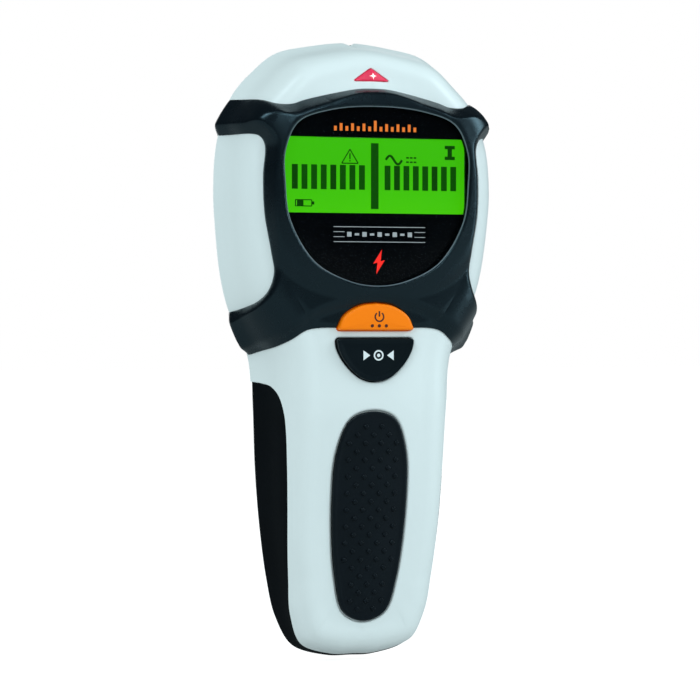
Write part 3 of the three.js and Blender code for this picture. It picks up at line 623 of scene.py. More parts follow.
# The glow on these three printed inks is painted light that keeps the marks bright; the print itself has no
# lamp.
LINE_INK = material("line_ink", (0.42, 0.44, 0.46), 0.4, vary=0.03, glow=(0.42, 0.45, 0.47),
                    glow_strength=0.18)
ORANGE_INK = material("orange_ink", (0.85, 0.19, 0.012), 0.4, vary=0.04, glow=(0.9, 0.17, 0.01),
                      glow_strength=0.35)
RED_SIGN = material("red_sign", (0.7, 0.01, 0.006), 0.3, glow=(1.0, 0.022, 0.012), glow_strength=0.75)
RED_LENS = material("red_lens", (0.62, 0.012, 0.06), 0.4, vary=0.08, vary_scale=300,
                    glow=(0.75, 0.02, 0.085), glow_strength=0.35)
SPARK = material("spark", (1.0, 0.75, 0.7), 0.3, vary=0.02, glow=(1.0, 0.62, 0.55), glow_strength=1.6)
STEEL = material("steel", (0.55, 0.56, 0.58), 0.28, 1500, metallic=1.0, rough_vary=0.08)
COPPER = material("copper", (0.72, 0.33, 0.16), 0.3, 1500, 0.2, 0.08, metallic=1.0, rough_vary=0.06)
BOARD = material("board", (0.012, 0.13, 0.055), 0.32, 900, vary=0.15, vary_scale=400, rough_vary=0.06)
CHIP = material("chip", (0.012, 0.012, 0.014), 0.5, 3000, 0.25, 0.1, rough_vary=0.05)
PALE = material("pale_plastic", (0.70, 0.70, 0.66), 0.42, 2600, vary=0.03, rough_vary=0.05)
GREY_RUBBER = material("grey_rubber", (0.05, 0.05, 0.055), 0.7, 2600, 0.3, 0.1)
SWITCH_RED = material("switch_red", (0.35, 0.03, 0.02), 0.4, 2600)
FOAM = material("foam", (0.03, 0.03, 0.032), 0.95, 1400, 1.0, 0.3, 700)
RED_WIRE = material("red_wire", (0.5, 0.012, 0.01), 0.35, 2000, 0.1)
BLACK_WIRE = material("black_wire", (0.01, 0.01, 0.011), 0.35, 2000, 0.1, 0.1)
CELL_BLUE = material("battery_sleeve", (0.02, 0.055, 0.22), 0.3, 900, 0.08, rough_vary=0.05, coat=0.3)
CELL_GOLD = material("battery_band", (0.60, 0.30, 0.07), 0.3, 900, 0.08, metallic=0.8, rough_vary=0.05)
LCD_DARK = material("lcd_segment", (0.001, 0.012, 0.0005), 0.5, vary=0.2, vary_scale=200,
                    specular=0.04, glow=(0.0030, 0.080, 0.0002), glow_strength=0.9)
LCD_DARKER = material("lcd_segment_on", (0.001, 0.010, 0.0005), 0.5, vary=0.2, vary_scale=200,
                      specular=0.04, glow=(0.0028, 0.060, 0.0004), glow_strength=0.9)


def backlit_green():
    """Backlit green: even, a little brighter low down, with a faint mottling."""
    mat = material("lcd_green", (0.01, 0.10, 0.001), 0.3, vary=0.04, vary_scale=40, specular=0.15,
                   glow_strength=0.9)
    tree = mat.node_tree
    spot = tree.nodes.new("ShaderNodeTexCoord")
    split = tree.nodes.new("ShaderNodeSeparateXYZ")
    tree.links.new(spot.outputs["Object"], split.inputs["Vector"])
    low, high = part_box("lcd_glass")
    rise = stretch(tree, split.outputs["Z"], {"From Min": low.z, "From Max": high.z})
    mottled = tree.nodes.new("ShaderNodeMath")
    mottled.operation = "MULTIPLY_ADD"
    mottled.inputs[1].default_value = 0.35
    tree.links.new(noise(tree, 55, 2), mottled.inputs[0])
    tree.links.new(rise, mottled.inputs[2])
    green = ramp(tree, mottled.outputs["Value"], (0.1, (0.070, 0.66, 0.0006)),
                 (0.75, (0.048, 0.56, 0.0004)))
    tree.links.new(green, tree.nodes["Principled BSDF"].inputs["Emission Color"])
    return mat


LCD_GREEN = backlit_green()

# The finish of each CAD node; what isn't named here is steel.
CARRIED_OVER = {
    WHITE: "front_shell",
    BLACK: "rear_shell battery_cover",
    RUBBER: "rubber_frame",
    PAD_RUBBER: "grip_pad",
    KEY_BLACK: "cal_button",
    ORANGE: "mode_button",
    PANE: "display_window",
    GLIDE: "glide_plate",
    INK_BLACK: "window_mask",
    LCD_GREEN: "lcd_glass",
    PALE: "backlight_panel lcd_frame coil_former",
    GREY_RUBBER: "contact_strip_upper contact_strip_lower",
    BOARD: "main_board sensor_board",
    COPPER: "sensing_plate_left sensing_plate_right sensor_coil",
    CHIP: "microcontroller signal_amplifier buzzer mode_switch_base cal_switch_base board_link "
          "battery_snap",
    RED_LENS: "marker_led warning_led marker_lens",
    SWITCH_RED: "mode_switch_actuator cal_switch_actuator",
    CELL_BLUE: "battery",
    FOAM: "battery_foam",
    RED_WIRE: "red_lead",
    BLACK_WIRE: "black_lead",
}
finish_of = {node: finish for finish, nodes in CARRIED_OVER.items() for node in nodes.split()}
for node, node_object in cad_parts.items():
    node_object.data.materials.clear()
    node_object.data.materials.append(finish_of.get(node, STEEL))


# ------------------------------------------------------------------ outlines
def key_loop(half, tip):
    """A key's outline, with round corners where its flat side ends."""
    corners = [np.array(tip), np.array([-tip[0], tip[1]])]
    return soften(resample_keeping(mirror_loop(curve(half, 0.5, 200))), corners, 1.2)


def resample_keeping(loop, spacing=0.5):
    """Adds points along long straight stretches and keeps the ones there are."""
    out = []
    for a, b in zip(loop, np.roll(loop, -1, axis=0)):
        steps = max(int(np.linalg.norm(b - a) / spacing), 1)
        for k in range(steps):
            out.append(a + (b - a) * k / steps)
    return np.array(out)


def level_at_middle(half):
    """A smooth run through a right half that starts level at the middle."""
    run = catmull([(-half[1][0], half[1][1]), *half], 400)
    run = resample(run[run[:, 0] >= 0], 0.6, closed=False)
    run[0, 0] = 0
    return run


frame_top = level_at_middle(FRAME_TOP)
side_cut = curve(FRAME_SIDE_CUT, 0.6)
frame_bottom = curve(FRAME_BOTTOM, 0.6)
arch_line = level_at_middle(ARCH)
lip_loop = smooth_loop(LIP, 0.7)
pad_loop = smooth_loop(PAD, 0.6)
mode_loop = key_loop(MODE_KEY, MODE_KEY[-1])
cal_loop = key_loop(CAL_KEY, CAL_KEY[0])
marker_lens = Extent("marker_lens")
marker_tri = np.array([(marker_lens.left, marker_lens.low), (0, marker_lens.high),
                       (marker_lens.right, marker_lens.low)])
marker_loop = soften(resample_keeping(marker_tri, 0.4), marker_tri, 0.7)


# ------------------------------------------------------------------ shells
outer = body()
for level in (-0.124, -0.130, -0.136):
    smoothed(outer, -0.2, level, SMOOTHING, 0.0155)
outer_depth = surface_of(outer)
inner = body(-WALL, -WALL, -WALL, loops=130, across=14, flank=8)


def parting_groove():
    """A slim V groove along the joint of the two shells, swept round the body."""
    rows = half_outline(420)
    flank = catmull(FLANK, 120)
    line = curve(PARTING, 0.4, 400)
    line = line[np.argsort(line[:, 0])]
    centre = []
    for row in rows:
        lean = back_lean(row[6])
        below = np.linspace(SHELL_BACK + BACK_EDGE, row[6], 30, endpoint=False)
        reach = -lean * np.linspace(1, 0, 30, endpoint=False)
        depth = np.concatenate([below, row[6] + flank[:, 1] * (row[5] - row[6])])
        reach = np.concatenate([reach, -flank[:, 0] * row[4]])
        z = row[1] + row[3] * reach
        gap = depth - np.interp(z, line[:, 0], line[:, 1])
        k = max(int(np.argmax(gap > 0)), 1)
        t = gap[k - 1] / (gap[k - 1] - gap[k])
        r = reach[k - 1] + (reach[k] - reach[k - 1]) * t
        d = depth[k - 1] + (depth[k] - depth[k - 1]) * t
        centre.append((row[0] + row[2] * r, -d, row[1] + row[3] * r, row[2], row[3]))
    centre = np.array(centre)
    left = centre[1:-1][::-1] * [-1, 1, 1, -1, 1]
    path = np.vstack([centre, left])
    along = unit(np.roll(path[:, :3], -1, axis=0) - np.roll(path[:, :3], 1, axis=0))
    out = np.stack([path[:, 3], np.zeros(len(path)), path[:, 4]], axis=1)
    across = unit(np.cross(along, out))
    out = np.cross(across, along)
    section = [(-0.55, 0), (0, -0.32), (0.55, 0), (0, 0.32)]
    rings = [path[:, :3] + out * a + across * b for a, b in section]
    return loft(rings, joined=True)


def pad_recess():
    room = prism(offset(pad_loop, 0.35), 5, 40)
    return cut(room, body(0, -PAD_RECESS, 0, loops=160, across=16, flank=10))


def front_shell():
    shell = cut(copy_of(outer), copy_of(inner), behind_parting(0.1))
    cut(shell, prism(offset(lip_loop, 0.9), 27.3, 40))
    cut(shell, box(0, 4.45, 59.6, 24.3, 20, 40))
    cut(shell, prism(offset(mode_loop, KEY_GAP), 20, 40), prism(offset(cal_loop, KEY_GAP), 20, 40))
    for loop, radius in ((mode_loop, 0.35), (cal_loop, 0.6)):
        cut(shell, ring_cutter(offset(loop, KEY_GAP), fillet_section(radius), outer_depth, radius))
    lens = offset(marker_loop, KEY_GAP * 0.6)
    cut(shell, prism(lens, 15, 40), ring_cutter(lens, fillet_section(0.3), outer_depth, 0.3))
    cut(shell, pad_recess())
    cut(shell, ring_cutter(offset(pad_loop, 0.35), fillet_section(0.9, 7), outer_depth, 0.9))
    return cut(shell, parting_groove(), top_notch())


def top_notch():
    """A shallow V at the top centre that runs out towards the front."""
    verts = [(-3.4, 1.0, 50.6), (3.4, 1.0, 50.6), (0, 1.0, 48.55),
             (-0.6, -15.0, 47.0), (0.6, -15.0, 47.0), (0, -15.0, 46.3)]
    faces = [(0, 1, 2), (3, 5, 4), (0, 3, 4, 1), (1, 4, 5, 2), (2, 5, 3, 0)]
    return make("notch", verts, faces)


finish_piece(front_shell(), "front_shell_skin", "white_shell", WHITE, "front_shell")

glide_box = Extent("glide_plate")
cover_box = Extent("battery_cover")
pin_box = Extent("hinge_pin")
battery_box = Extent("battery")
case_screws = [Extent(f"case_screw_{n}") for n in range(1, 6)]
BARREL_RADIUS = pin_box.depth - SHELL_BACK
COVER_GAP = 0.3
BAY_TOP = battery_box.high + 4.3
BAY_LOW = battery_box.low - 2.6
BAY_WALL = 1.2
BAY_DEPTH = 15.5
SCREW_WELL = 2.9
LUG_X = 13.6
LUG_WIDTH = 2.4


def countersink(spot, radius, depth, bevel=0.35):
    """A round well whose rim is chamfered where it meets the back, with a hole for the shank."""
    well = lathe([(radius + bevel + 1, SHELL_BACK - 1), (radius + bevel, SHELL_BACK),
                  (radius, SHELL_BACK + bevel), (radius, depth)], spot.x, spot.z, 56)
    return well, lathe([(SHANK_HOLE, 0), (SHANK_HOLE, 20)], spot.x, spot.z)


def bar_along_x(radius, half_length, sides=40):
    """A round bar on the hinge's axis."""
    turn = np.arange(sides) * 2 * math.pi / sides
    depth = pin_box.depth - radius * np.cos(turn)
    z = pin_box.z + radius * np.sin(turn)
    return loft([np.stack([np.full(sides, x), -depth, z], axis=1) for x in (-half_length, half_length)])


def chamfered_well(loop, floor_depth, bevel=0.4):
    """A recess in the back whose rim is chamfered."""
    return stepped(loop, [(bevel + 1, SHELL_BACK - 1), (bevel, SHELL_BACK), (0, SHELL_BACK + bevel),
                          (0, floor_depth)])


def rear_shell():
    shell = cut(common(body(-SHELL_STEP), behind_parting(-0.1)), copy_of(inner))
    width = battery_box.width + 0.6
    mid = (BAY_TOP + BAY_LOW) / 2
    height = BAY_TOP - BAY_LOW
    bay = box(0, mid, width + 2 * BAY_WALL, height, 2, BAY_DEPTH)
    cut(bay, box(0, mid, width, height - 2 * BAY_WALL, 0, 20))
    join(shell, common(bay, behind_parting(-1.5)))
    *head_screws, foot = case_screws
    join(shell, lathe([(4, 1), (4, 10.6)], foot.x, foot.z))
    cut(shell, *countersink(foot, SCREW_WELL, 6.6))
    for spot in head_screws:
        cut(shell, *countersink(spot, SCREW_WELL, 1.9))
    plate = round_box(0, 0, glide_box.width + 0.6, glide_box.height + 0.6, 7.3)
    cut(shell, chamfered_well(plate, glide_box.far + 0.3))
    door_low = pin_box.z - BARREL_RADIUS - COVER_GAP
    door_top = cover_box.high + COVER_GAP
    doorway = round_box(0, (door_low + door_top) / 2, cover_box.width + 2 * COVER_GAP,
                        door_top - door_low, 0.8)
    cut(shell, chamfered_well(doorway, 3.1, 0.25))
    cut(shell, box(0, mid, width, height - 2 * BAY_WALL, 0, 10), finger_scoop(door_top))
    for side in (-1, 1):
        join(shell, box(side * LUG_X, pin_box.z - 0.4, LUG_WIDTH, 5, 1.2, 5.4),
             box(side * LUG_X, pin_box.z - 3.6, LUG_WIDTH, 2.6, 0.9, 5.4))
    return cut(shell, bar_along_x(pin_box.height / 2 + 0.03, 14.2), parting_groove(), top_notch())


def finger_scoop(door_top):
    """A shallow round scoop in the back, above the battery cover's upper edge."""
    rings = [place(circle(0, door_top, 8.2, 40), SHELL_BACK - 1)]
    for s, c in quarter(8):
        rings.append(place(circle(0, door_top, 7.5 * (c + 0.002), 40), SHELL_BACK + 1.5 * s))
    return loft(rings)


def scaled(loop, centre, factor):
    return (loop - centre) * factor + centre


finish_piece(rear_shell(), "rear_shell_skin", "black_shell", BLACK, "rear_shell")


# ------------------------------------------------------------------ rubber frame
pane_box = Extent("display_window")
mask_box = Extent("window_mask")
glass_box = Extent("lcd_glass")
LIP_DEPTH = 31.75
EDGE_RISE = 0.35
RUBBER_RISE = 2.5
ARM_X, ARM_BLEND = 31, 9
LOW_ARM_Z, LOW_ARM_BLEND = -39, 8
SIDE_CUT_TOP, SIDE_CUT_LOW = 17.6, -41.4
ARCH_RISE, ARCH_SLOPE, ARCH_FLOOR = 3.0, 0.55, 0.85
ARCH_END, ARCH_BLEND = 30, 6


def soft_min(a, b, blend):
    h = np.clip(0.5 + 0.5 * (b - a) / blend, 0, 1)
    return b * (1 - h) + a * h - blend * h * (1 - h)


def signed(points, run, along, across, sense):
    """Distance to an outline, negative outside it, judged against the run read along one axis."""
    order = np.argsort(run[:, along])
    side = np.interp(points[:, along], run[order, along], run[order, across]) - points[:, across]
    return distance(points, run) * np.where(side * sense > 0, 1, -1)


def frame_rise(points, depths):
    """How far the frame stands over the shell at each place seen from the front."""
    flat = np.stack([np.abs(points[:, 0]), points[:, 1]], axis=1)
    to_top = signed(flat, frame_top, 0, 1, 1)
    to_bottom = signed(flat, frame_bottom, 0, 1, -1)
    to_cut = signed(flat, side_cut, 1, 0, 1)
    beside = (flat[:, 1] < SIDE_CUT_TOP) & (flat[:, 1] > SIDE_CUT_LOW)
    to_cut = np.where(beside, to_cut, np.abs(to_cut))
    to_lip = distance(flat, lip_loop)
    # How far out along an arm, and along a lower arm, each place lies.
    arm = np.clip((flat[:, 0] - ARM_X) / ARM_BLEND, 0, 1)
    arm = arm * arm * (3 - 2 * arm)
    low_arm = np.clip((LOW_ARM_Z - flat[:, 1]) / LOW_ARM_BLEND, 0, 1)
    # The crown stands over the shell, higher on the arms and in the collar round the lip.
    crown = RUBBER_RISE + (0.35 + 2.3 * low_arm * np.clip(1.25 - 0.045 * depths, 0, 1)) * arm
    collar = LIP_DEPTH - depths - 0.18 * to_lip - 0.05 * np.clip(to_lip - 3.5, 0, None) ** 2
    crown = -soft_min(-crown, -collar, 0.5)
    # Slopes that fall to the frame's upper, side and lower edges.
    upper = EDGE_RISE + to_top * (1.4 - 1.07 * arm)
    side = EDGE_RISE + to_cut * (1.9 - 0.6 * arm)
    lower = EDGE_RISE + to_bottom * (0.55 + 1.1 * arm)
    # The facet below the arch, which fades out towards the lower arms.
    over_arch = np.interp(flat[:, 0], arch_line[:, 0], arch_line[:, 1]) - flat[:, 1]
    arch = np.where(over_arch > -0.8, ARCH_RISE - ARCH_SLOPE * np.clip(over_arch, 0, None), 9.0)
    arch = np.maximum(arch, ARCH_FLOOR) + 6 * np.clip((flat[:, 0] - ARCH_END) / ARCH_BLEND, 0, 1)
    end = EDGE_RISE + (depths - FRAME_BACK) * (1.1 + 3 * low_arm)
    rise = crown
    for limit, blend in ((upper, 0.3), (side, 0.25), (lower, 0.3), (arch, 0.25), (end, 0.5)):
        rise = soft_min(rise, limit, blend)
    return np.clip(rise, -1.6, 6.0)


def frame_form():
    """The body's front and sides, raised by the frame's own height over them."""
    form = body(loops=460, across=84, flank=40)
    mesh = form.data
    count = len(mesh.vertices)
    co, normal = np.zeros((count, 3)), np.zeros((count, 3))
    mesh.vertices.foreach_get("co", co.ravel())
    mesh.vertices.foreach_get("normal", normal.ravel())
    co /= MM
    live = (co[:, 2] > -62) & (co[:, 2] < 36)
    rise = np.full(count, -1.0)
    rise[live] = frame_rise(co[live][:, [0, 2]], -co[live][:, 1])
    back = -co[:, 1] < 3
    rise[back] = 0
    normal[:, 1] = np.where(back, 0, normal[:, 1])
    co += normal * rise[:, None]
    mesh.vertices.foreach_set("co", (co * MM).ravel())
    return smoothed(form, -0.06, 0.034, SMOOTHING)


def rubber_frame():
    form = frame_form()
    form_depth = surface_of(form)
    outline = mirror_loop(np.vstack([frame_top, side_cut[1:], frame_bottom[1:]]))
    mode_hole = offset(mode_loop, KEY_GAP)
    common(form, prism(outline, FRAME_BACK, 45))
    cut(form, body(-FRAME_SINK, -FRAME_SINK, 3, loops=230, across=30, flank=16))
    cut(form, prism(offset(lip_loop, 0.9), 20, pane_box.far + 0.3), prism(lip_loop, 20, 45))
    cut(form, ring_cutter(lip_loop, fillet_section(0.55, 6), form_depth, 0.55))
    rim = ring_cutter(mode_hole, fillet_section(0.45), form_depth, 0.45)
    return cut(form, prism(mode_hole, 20, 45), rim)


frame_piece = finish_piece(rubber_frame(), "rubber_frame_skin", "rubber", RUBBER,
                           "rubber_frame", angle=38)


def lip_highlight_bead(radius=0.30, sides=10):
    """A slim bead just inside the frame's lip, coloured lighter than the rubber as a painted highlight."""
    level = surface_of(frame_piece)(offset(lip_loop, 0.75)) - 0.62
    level = np.mean([np.roll(level, k) for k in range(-3, 4)], axis=0)
    turn = np.arange(sides) * 2 * math.pi / sides
    profile = [(radius * math.cos(a) - 0.02, level + radius * math.sin(a)) for a in turn]
    return stepped(lip_loop, profile, joined=True)


finish_piece(lip_highlight_bead(), "lip_highlight_bead", "rubber", LIP_HIGHLIGHT, angle=60)


# ------------------------------------------------------------------ domed pieces: keys, lens, pane
def domed(loop, base, top, radius, crown=0.0, chamfer=(0, 0), inner_rings=10):
    """A cap over an outline: straight sides, a rounded rim and a gently crowned top."""
    rings = [place(loop, base)]
    for s, c in quarter(6):
        rings.append(place(offset(loop, -radius * (1 - c)), top - radius * (1 - s)))
    width, drop = chamfer
    rim = offset(loop, -radius)
    if width:
        rim = offset(rim, -width)
        top -= drop
        rings.append(place(rim, top))
    for factor in [*np.linspace(1, 0, inner_rings, endpoint=False)[1:], 0.01]:
        ring = scaled(rim, loop.mean(axis=0), factor)
        rings.append(place(ring, top + crown * (1 - factor * factor)))
    return loft(rings)


FLANGE_BACK = 24.0
FLANGE_THICK = 1.3


def key(cap_piece, loop, name, slot_name, finish):
    """Adds the flange that holds a key's cap behind the shell, and gives the cap's surface."""
    surface = surface_of(cap_piece)
    join(cap_piece, prism(offset(loop, 1.1), FLANGE_BACK, FLANGE_BACK + FLANGE_THICK))
    finish_piece(cap_piece, f"{name}_button_cap", slot_name, finish, f"{name}_button",
                 body_name=f"{name}_key")
    return surface


MODE_CROWN = 0.25
mode_top = Extent("mode_button").far - MODE_CROWN
mode_cap = domed(mode_loop, FLANGE_BACK + 0.5, mode_top, 0.8, MODE_CROWN)
mode_surface = key(mode_cap, mode_loop, "mode", "orange_key", ORANGE)
cal_cap = domed(cal_loop, FLANGE_BACK + 0.5, Extent("cal_button").far, 0.35, 0.15, (1.1, 0.45))
cal_surface = key(cal_cap, cal_loop, "cal", "black_key", KEY_BLACK)

LENS_TOP = 26.2
lens_shape = domed(offset(marker_loop, -0.05), marker_lens.near, LENS_TOP, 0.4, 0.1)


def follow_surface(obj, surface, lift, above):
    """Lays everything of a piece above a depth on a surface, at a lift over it."""
    mesh = obj.data
    for vertex in mesh.vertices:
        x, y, z = vertex.co / MM
        if -y > above:
            vertex.co.y = -(surface(np.array([[x, z]]))[0] + (-y - LENS_TOP) + lift) * MM
    mesh.update()


follow_surface(lens_shape, outer_depth, 0.25, 24.5)
lens_piece = finish_piece(lens_shape, "marker_lens_skin", "red_lens", RED_LENS, "marker_lens")
finish_piece(domed(offset(lip_loop, 0.6), pane_box.near, pane_box.far, 0.2, inner_rings=3),
             "display_window_pane", "window", PANE, "display_window")

VIEW_LOW, VIEW_HIGH, VIEW_HALF = -7.7, 16.6, 31.2


def view_opening():
    """The mask's opening: a rectangle whose sides stop at the frame's lip."""
    edge = lip_loop[lip_loop[:, 0] > 0]
    edge = edge[np.argsort(edge[:, 1])]
    z = np.linspace(VIEW_HIGH, VIEW_LOW, 26)
    half = np.minimum(np.interp(z, edge[:, 1], edge[:, 0]) + 0.2, VIEW_HALF)
    return mirror_loop(np.stack([half, z], axis=1))


view_loop = view_opening()


def window_mask():
    mask = domed(offset(lip_loop, 0.6), mask_box.near, mask_box.far, 0.08, inner_rings=2)
    return cut(mask, prism(view_loop, 20, 32))


finish_piece(window_mask(), "window_mask_print", "printed_mask", INK_BLACK, "window_mask")


# ------------------------------------------------------------------ flat marks
def mark(name, shapes, depth_of, slot_name, ink, body_name="housing", lift=0.05, sink=0.08, cell=30):
    """Thin closed marks laid on a surface or at a depth. Each shape is a polygon in x and z."""
    bm = bmesh.new()
    for shape in shapes:
        bm.faces.new([bm.verts.new((x, 0, z)) for x, z in shape])
    bmesh.ops.remove_doubles(bm, verts=bm.verts, dist=0.004)
    bmesh.ops.triangulate(bm, faces=bm.faces)
    for _ in range(4):
        long = [e for e in bm.edges if e.calc_length() > cell]
        if not long:
            break
        bmesh.ops.subdivide_edges(bm, edges=long, cuts=1)
        bmesh.ops.triangulate(bm, faces=[f for f in bm.faces if len(f.verts) > 3])
    grown = bmesh.ops.extrude_face_region(bm, geom=bm.faces[:])
    raised = {v for v in grown["geom"] if isinstance(v, bmesh.types.BMVert)}
    flat = np.array([(v.co.x, v.co.z) for v in bm.verts])
    level = depth_of(flat) if callable(depth_of) else np.full(len(flat), depth_of)
    for vertex, depth in zip(bm.verts, level):
        vertex.co.y = -(depth + (lift if vertex in raised else -sink))
        vertex.co *= MM
    bmesh.ops.recalc_face_normals(bm, faces=bm.faces)
    mesh = bpy.data.meshes.new(name)
    bm.to_mesh(mesh)
    bm.free()
    finish_piece(add_object(name, mesh), name, slot_name, ink, body_name=body_name)


def stroke(points, width):
    """Quads along a run of points, joined edge to edge."""
    points = np.asarray(points, float)
    side = turned_left(unit(np.gradient(points, axis=0))) * width / 2
    left, right = points + side, points - side
    return [[left[i], left[i + 1], right[i + 1], right[i]] for i in range(len(points) - 1)]


def arc_points(x, z, radius, start, end, steps=28):
    turn = np.radians(np.linspace(start, end, steps))
    return np.stack([x + radius * np.cos(turn), z + radius * np.sin(turn)], axis=1)


def mode_sign(x=0.7, z=-41.0):
    """A power sign over three dots."""
    dots = [circle(x + across, z - 2.9, 0.55, 18) for across in (-2.4, 0, 2.4)]
    return [*stroke(arc_points(x, z, 1.45, 125, 415), 0.5), rectangle(x, z + 0.95, 0.5, 1.8), *dots]


def cal_sign(x=0.9, z=-53.4):
    """A target between two arrowheads."""
    heads = [[(x + side * 2.9, z), (x + side * 5.2, z + 1.6), (x + side * 5.2, z - 1.6)]
             for side in (-1, 1)]
    return [*stroke(arc_points(x, z, 1.45, 90, 450, 41), 0.5), circle(x, z, 0.55, 28), *heads]


def ruled_lines(x=1.5, z=-14.5):
    """A row of dashes between four ruled lines."""
    rules = [rectangle(x, z + up, 31.5, 0.22) for up in (2.4, -2.4)]
    rules += [rectangle(x + side * 13.9, z + up, 3.7, 0.2) for side in (-1, 1) for up in (0.8, -0.8)]
    return rules + [rectangle(x + k * 2.6, z, 1.5, 0.7 if k % 2 else 1.5) for k in range(-4, 5)]


def centre_scale(foot=18.7):
    """Upright bars, the longest in the middle."""
    heights = [(k, 3.4 if k == 0 else (1.5 if k % 2 else 2.4)) for k in range(-7, 8)]
    return [rectangle(k * 1.95, foot + height / 2, 0.95, height) for k, height in heights]


def bolt(x=1.3, z=-23.3):
    upper = np.array([(0.945, 3.9), (-1.995, -0.6), (0.525, 0.15)])
    return [upper + [x, z], -upper + [x, z]]


def signal_bars(lit):
    """The display's two rows of bars: every fourth one is lit a little darker."""
    return [rectangle(side * (4.4 + k * 3.26), 3.8, 2.0, 7.9)
            for k in range(8) for side in (-1, 1) if ((k * 3 + side) % 4 == 0) == lit]


def display_icons():
    """A beam section, a battery, a wave with a dashed pair beside it and a warning triangle."""
    beam = [rectangle(26, 14.0, 3.5, 1.1), rectangle(26, 10.5, 3.5, 1.1), rectangle(26, 12.25, 1.5, 2.4)]
    charge = [rectangle(-25.4, -4.6, 2.2, 1.9), rectangle(-24.3, -3.6, 5.4, 0.3),
              rectangle(-24.3, -5.6, 5.4, 0.3), rectangle(-21.5, -4.6, 0.3, 2.1),
              rectangle(-27.0, -4.6, 0.35, 2.1), rectangle(-21.0, -4.6, 0.7, 1.0)]
    wave = stroke([(3.8 + 5.6 * t, 9.6 + 1.35 * math.sin(2 * math.pi * t)) for t in np.linspace(0, 1, 25)],
                  0.75)
    dashes = [rectangle(11.3 + 1.3 * k, z, 0.9, 0.5) for k in range(3) for z in (9.0, 10.4)]
    corners = [(-8.5, 12.8), (-11.3, 8.3), (-5.7, 8.3)]
    sides = [quad for k in range(3) for quad in stroke([corners[k - 1], corners[k]], 0.34)]
    return [*beam, *charge, *wave, *dashes, *sides, rectangle(-8.5, 10.6, 0.4, 1.9),
            rectangle(-8.5, 9.1, 0.4, 0.45)]


def spark(x=0.35, z=36.75):
    """A glint of four thin diamonds crossed at one point."""
    diamonds = []
    for turn, reach, girth in ((0, 1.25, 0.24), (90, 1.15, 0.24), (45, 0.6, 0.22), (135, 0.6, 0.22)):
        c, s = math.cos(math.radians(turn)), math.sin(math.radians(turn))
        diamonds.append([(x + a * c - b * s, z + a * s + b * c)
                         for a, b in ((reach, 0), (0, girth), (-reach, 0), (0, -girth))])
    return diamonds


def lcd_glass():
    """The glass cell with the raised picture layer that fills the mask's opening."""
    outline = round_box(0, glass_box.z, glass_box.width, glass_box.height, 0.5)
    picture = domed(offset(view_loop, -0.12), 27.5, glass_box.far, 0.12, inner_rings=2)
    block = box(0, (VIEW_LOW + VIEW_HIGH) / 2, 59, VIEW_HIGH - VIEW_LOW - 0.6, 26.2, 27.8)
    return join(domed(outline, glass_box.near, 26.7, 0.15, inner_rings=2), block, picture)


mark("mode_sign", mode_sign(), mode_surface, "orange_key", DARK_INK, "mode_key", cell=0.5)
mark("cal_sign", cal_sign(), cal_surface, "black_key", WHITE_INK, "cal_key", cell=0.6)
mark("window_rules", ruled_lines(), mask_box.far, "printed_mask", LINE_INK)
mark("window_scale", centre_scale(), mask_box.far, "printed_mask", ORANGE_INK)
mark("window_bolt", bolt(), mask_box.far, "printed_mask", RED_SIGN)
finish_piece(lcd_glass(), "lcd_glass_cell", "lcd", LCD_GREEN, "lcd_glass")
mark("lcd_segments", [*signal_bars(False), rectangle(0, 4.3, 2.6, 21.2)], glass_box.far, "lcd", LCD_DARK)
mark("lcd_icons", [*signal_bars(True), *display_icons()], glass_box.far, "lcd", LCD_DARKER)
mark("marker_spark", spark(), surface_of(lens_piece), "red_lens", SPARK, cell=0.4)


# ------------------------------------------------------------------ grip pad
PIP_PITCH = 5.42


def grip_pad(radius=0.55, floor=0.2):
    """The pad: a rounded rim, a step down to its floor, and studs in staggered rows."""
    def ring(loop, up):
        return place(loop, outer_depth(loop) + PAD_RISE + up)

    rings = [place(pad_loop, outer_depth(pad_loop) - PAD_RECESS + 0.3)]
    rings += [ring(offset(pad_loop, -radius * (1 - c)), -radius * (1 - s)) for s, c in quarter(5)]
    for inset, drop in ((1.0, 0), (1.35, 0.12), (1.7, floor)):
        rings.append(ring(offset(pad_loop, -inset), -drop))
    rim = offset(pad_loop, -1.7)
    for factor in [*np.linspace(1, 0, 16, endpoint=False)[1:], 0.01]:
        rings.append(ring(scaled(rim, pad_loop.mean(axis=0), factor), -floor))
    room = offset(pad_loop, -2.6)
    rows = [(-76.3 - row * PIP_PITCH / 2, PIP_PITCH / 2 * (1 - row % 2)) for row in range(30)]
    spots = [(col * PIP_PITCH + shift, z) for z, shift in rows for col in range(-4, 5)]
    spots = np.array([spot for spot in spots if inside(room, *spot)])
    level = outer_depth(spots) + PAD_RISE - floor
    return join(loft(rings), *[pip(spot, depth) for spot, depth in zip(spots, level)])


def inside(loop, x, z):
    hits = 0
    for (x0, z0), (x1, z1) in zip(loop, np.roll(loop, -1, axis=0)):
        if (z0 > z) != (z1 > z) and x < x0 + (x1 - x0) * (z - z0) / (z1 - z0):
            hits += 1
    return hits % 2 == 1


def pip(spot, depth):
    """A low square stud with soft sides, set corner down."""
    rings = []
    for half, up, soft in ((0.82, -0.3, 0.3), (0.78, 0.0, 0.3), (0.66, 0.32, 0.25), (0.5, 0.48, 0.2),
                           (0.25, 0.53, 0.1)):
        square = round_box(0, 0, 2 * half, 2 * half, soft, 4) * math.sqrt(0.5)
        turned = np.stack([square[:, 0] - square[:, 1], square[:, 0] + square[:, 1]], axis=1)
        rings.append(place(turned + spot, depth + up))
    return loft(rings)


finish_piece(grip_pad(), "grip_pad_skin", "rubber", PAD_RUBBER, "grip_pad", angle=30)


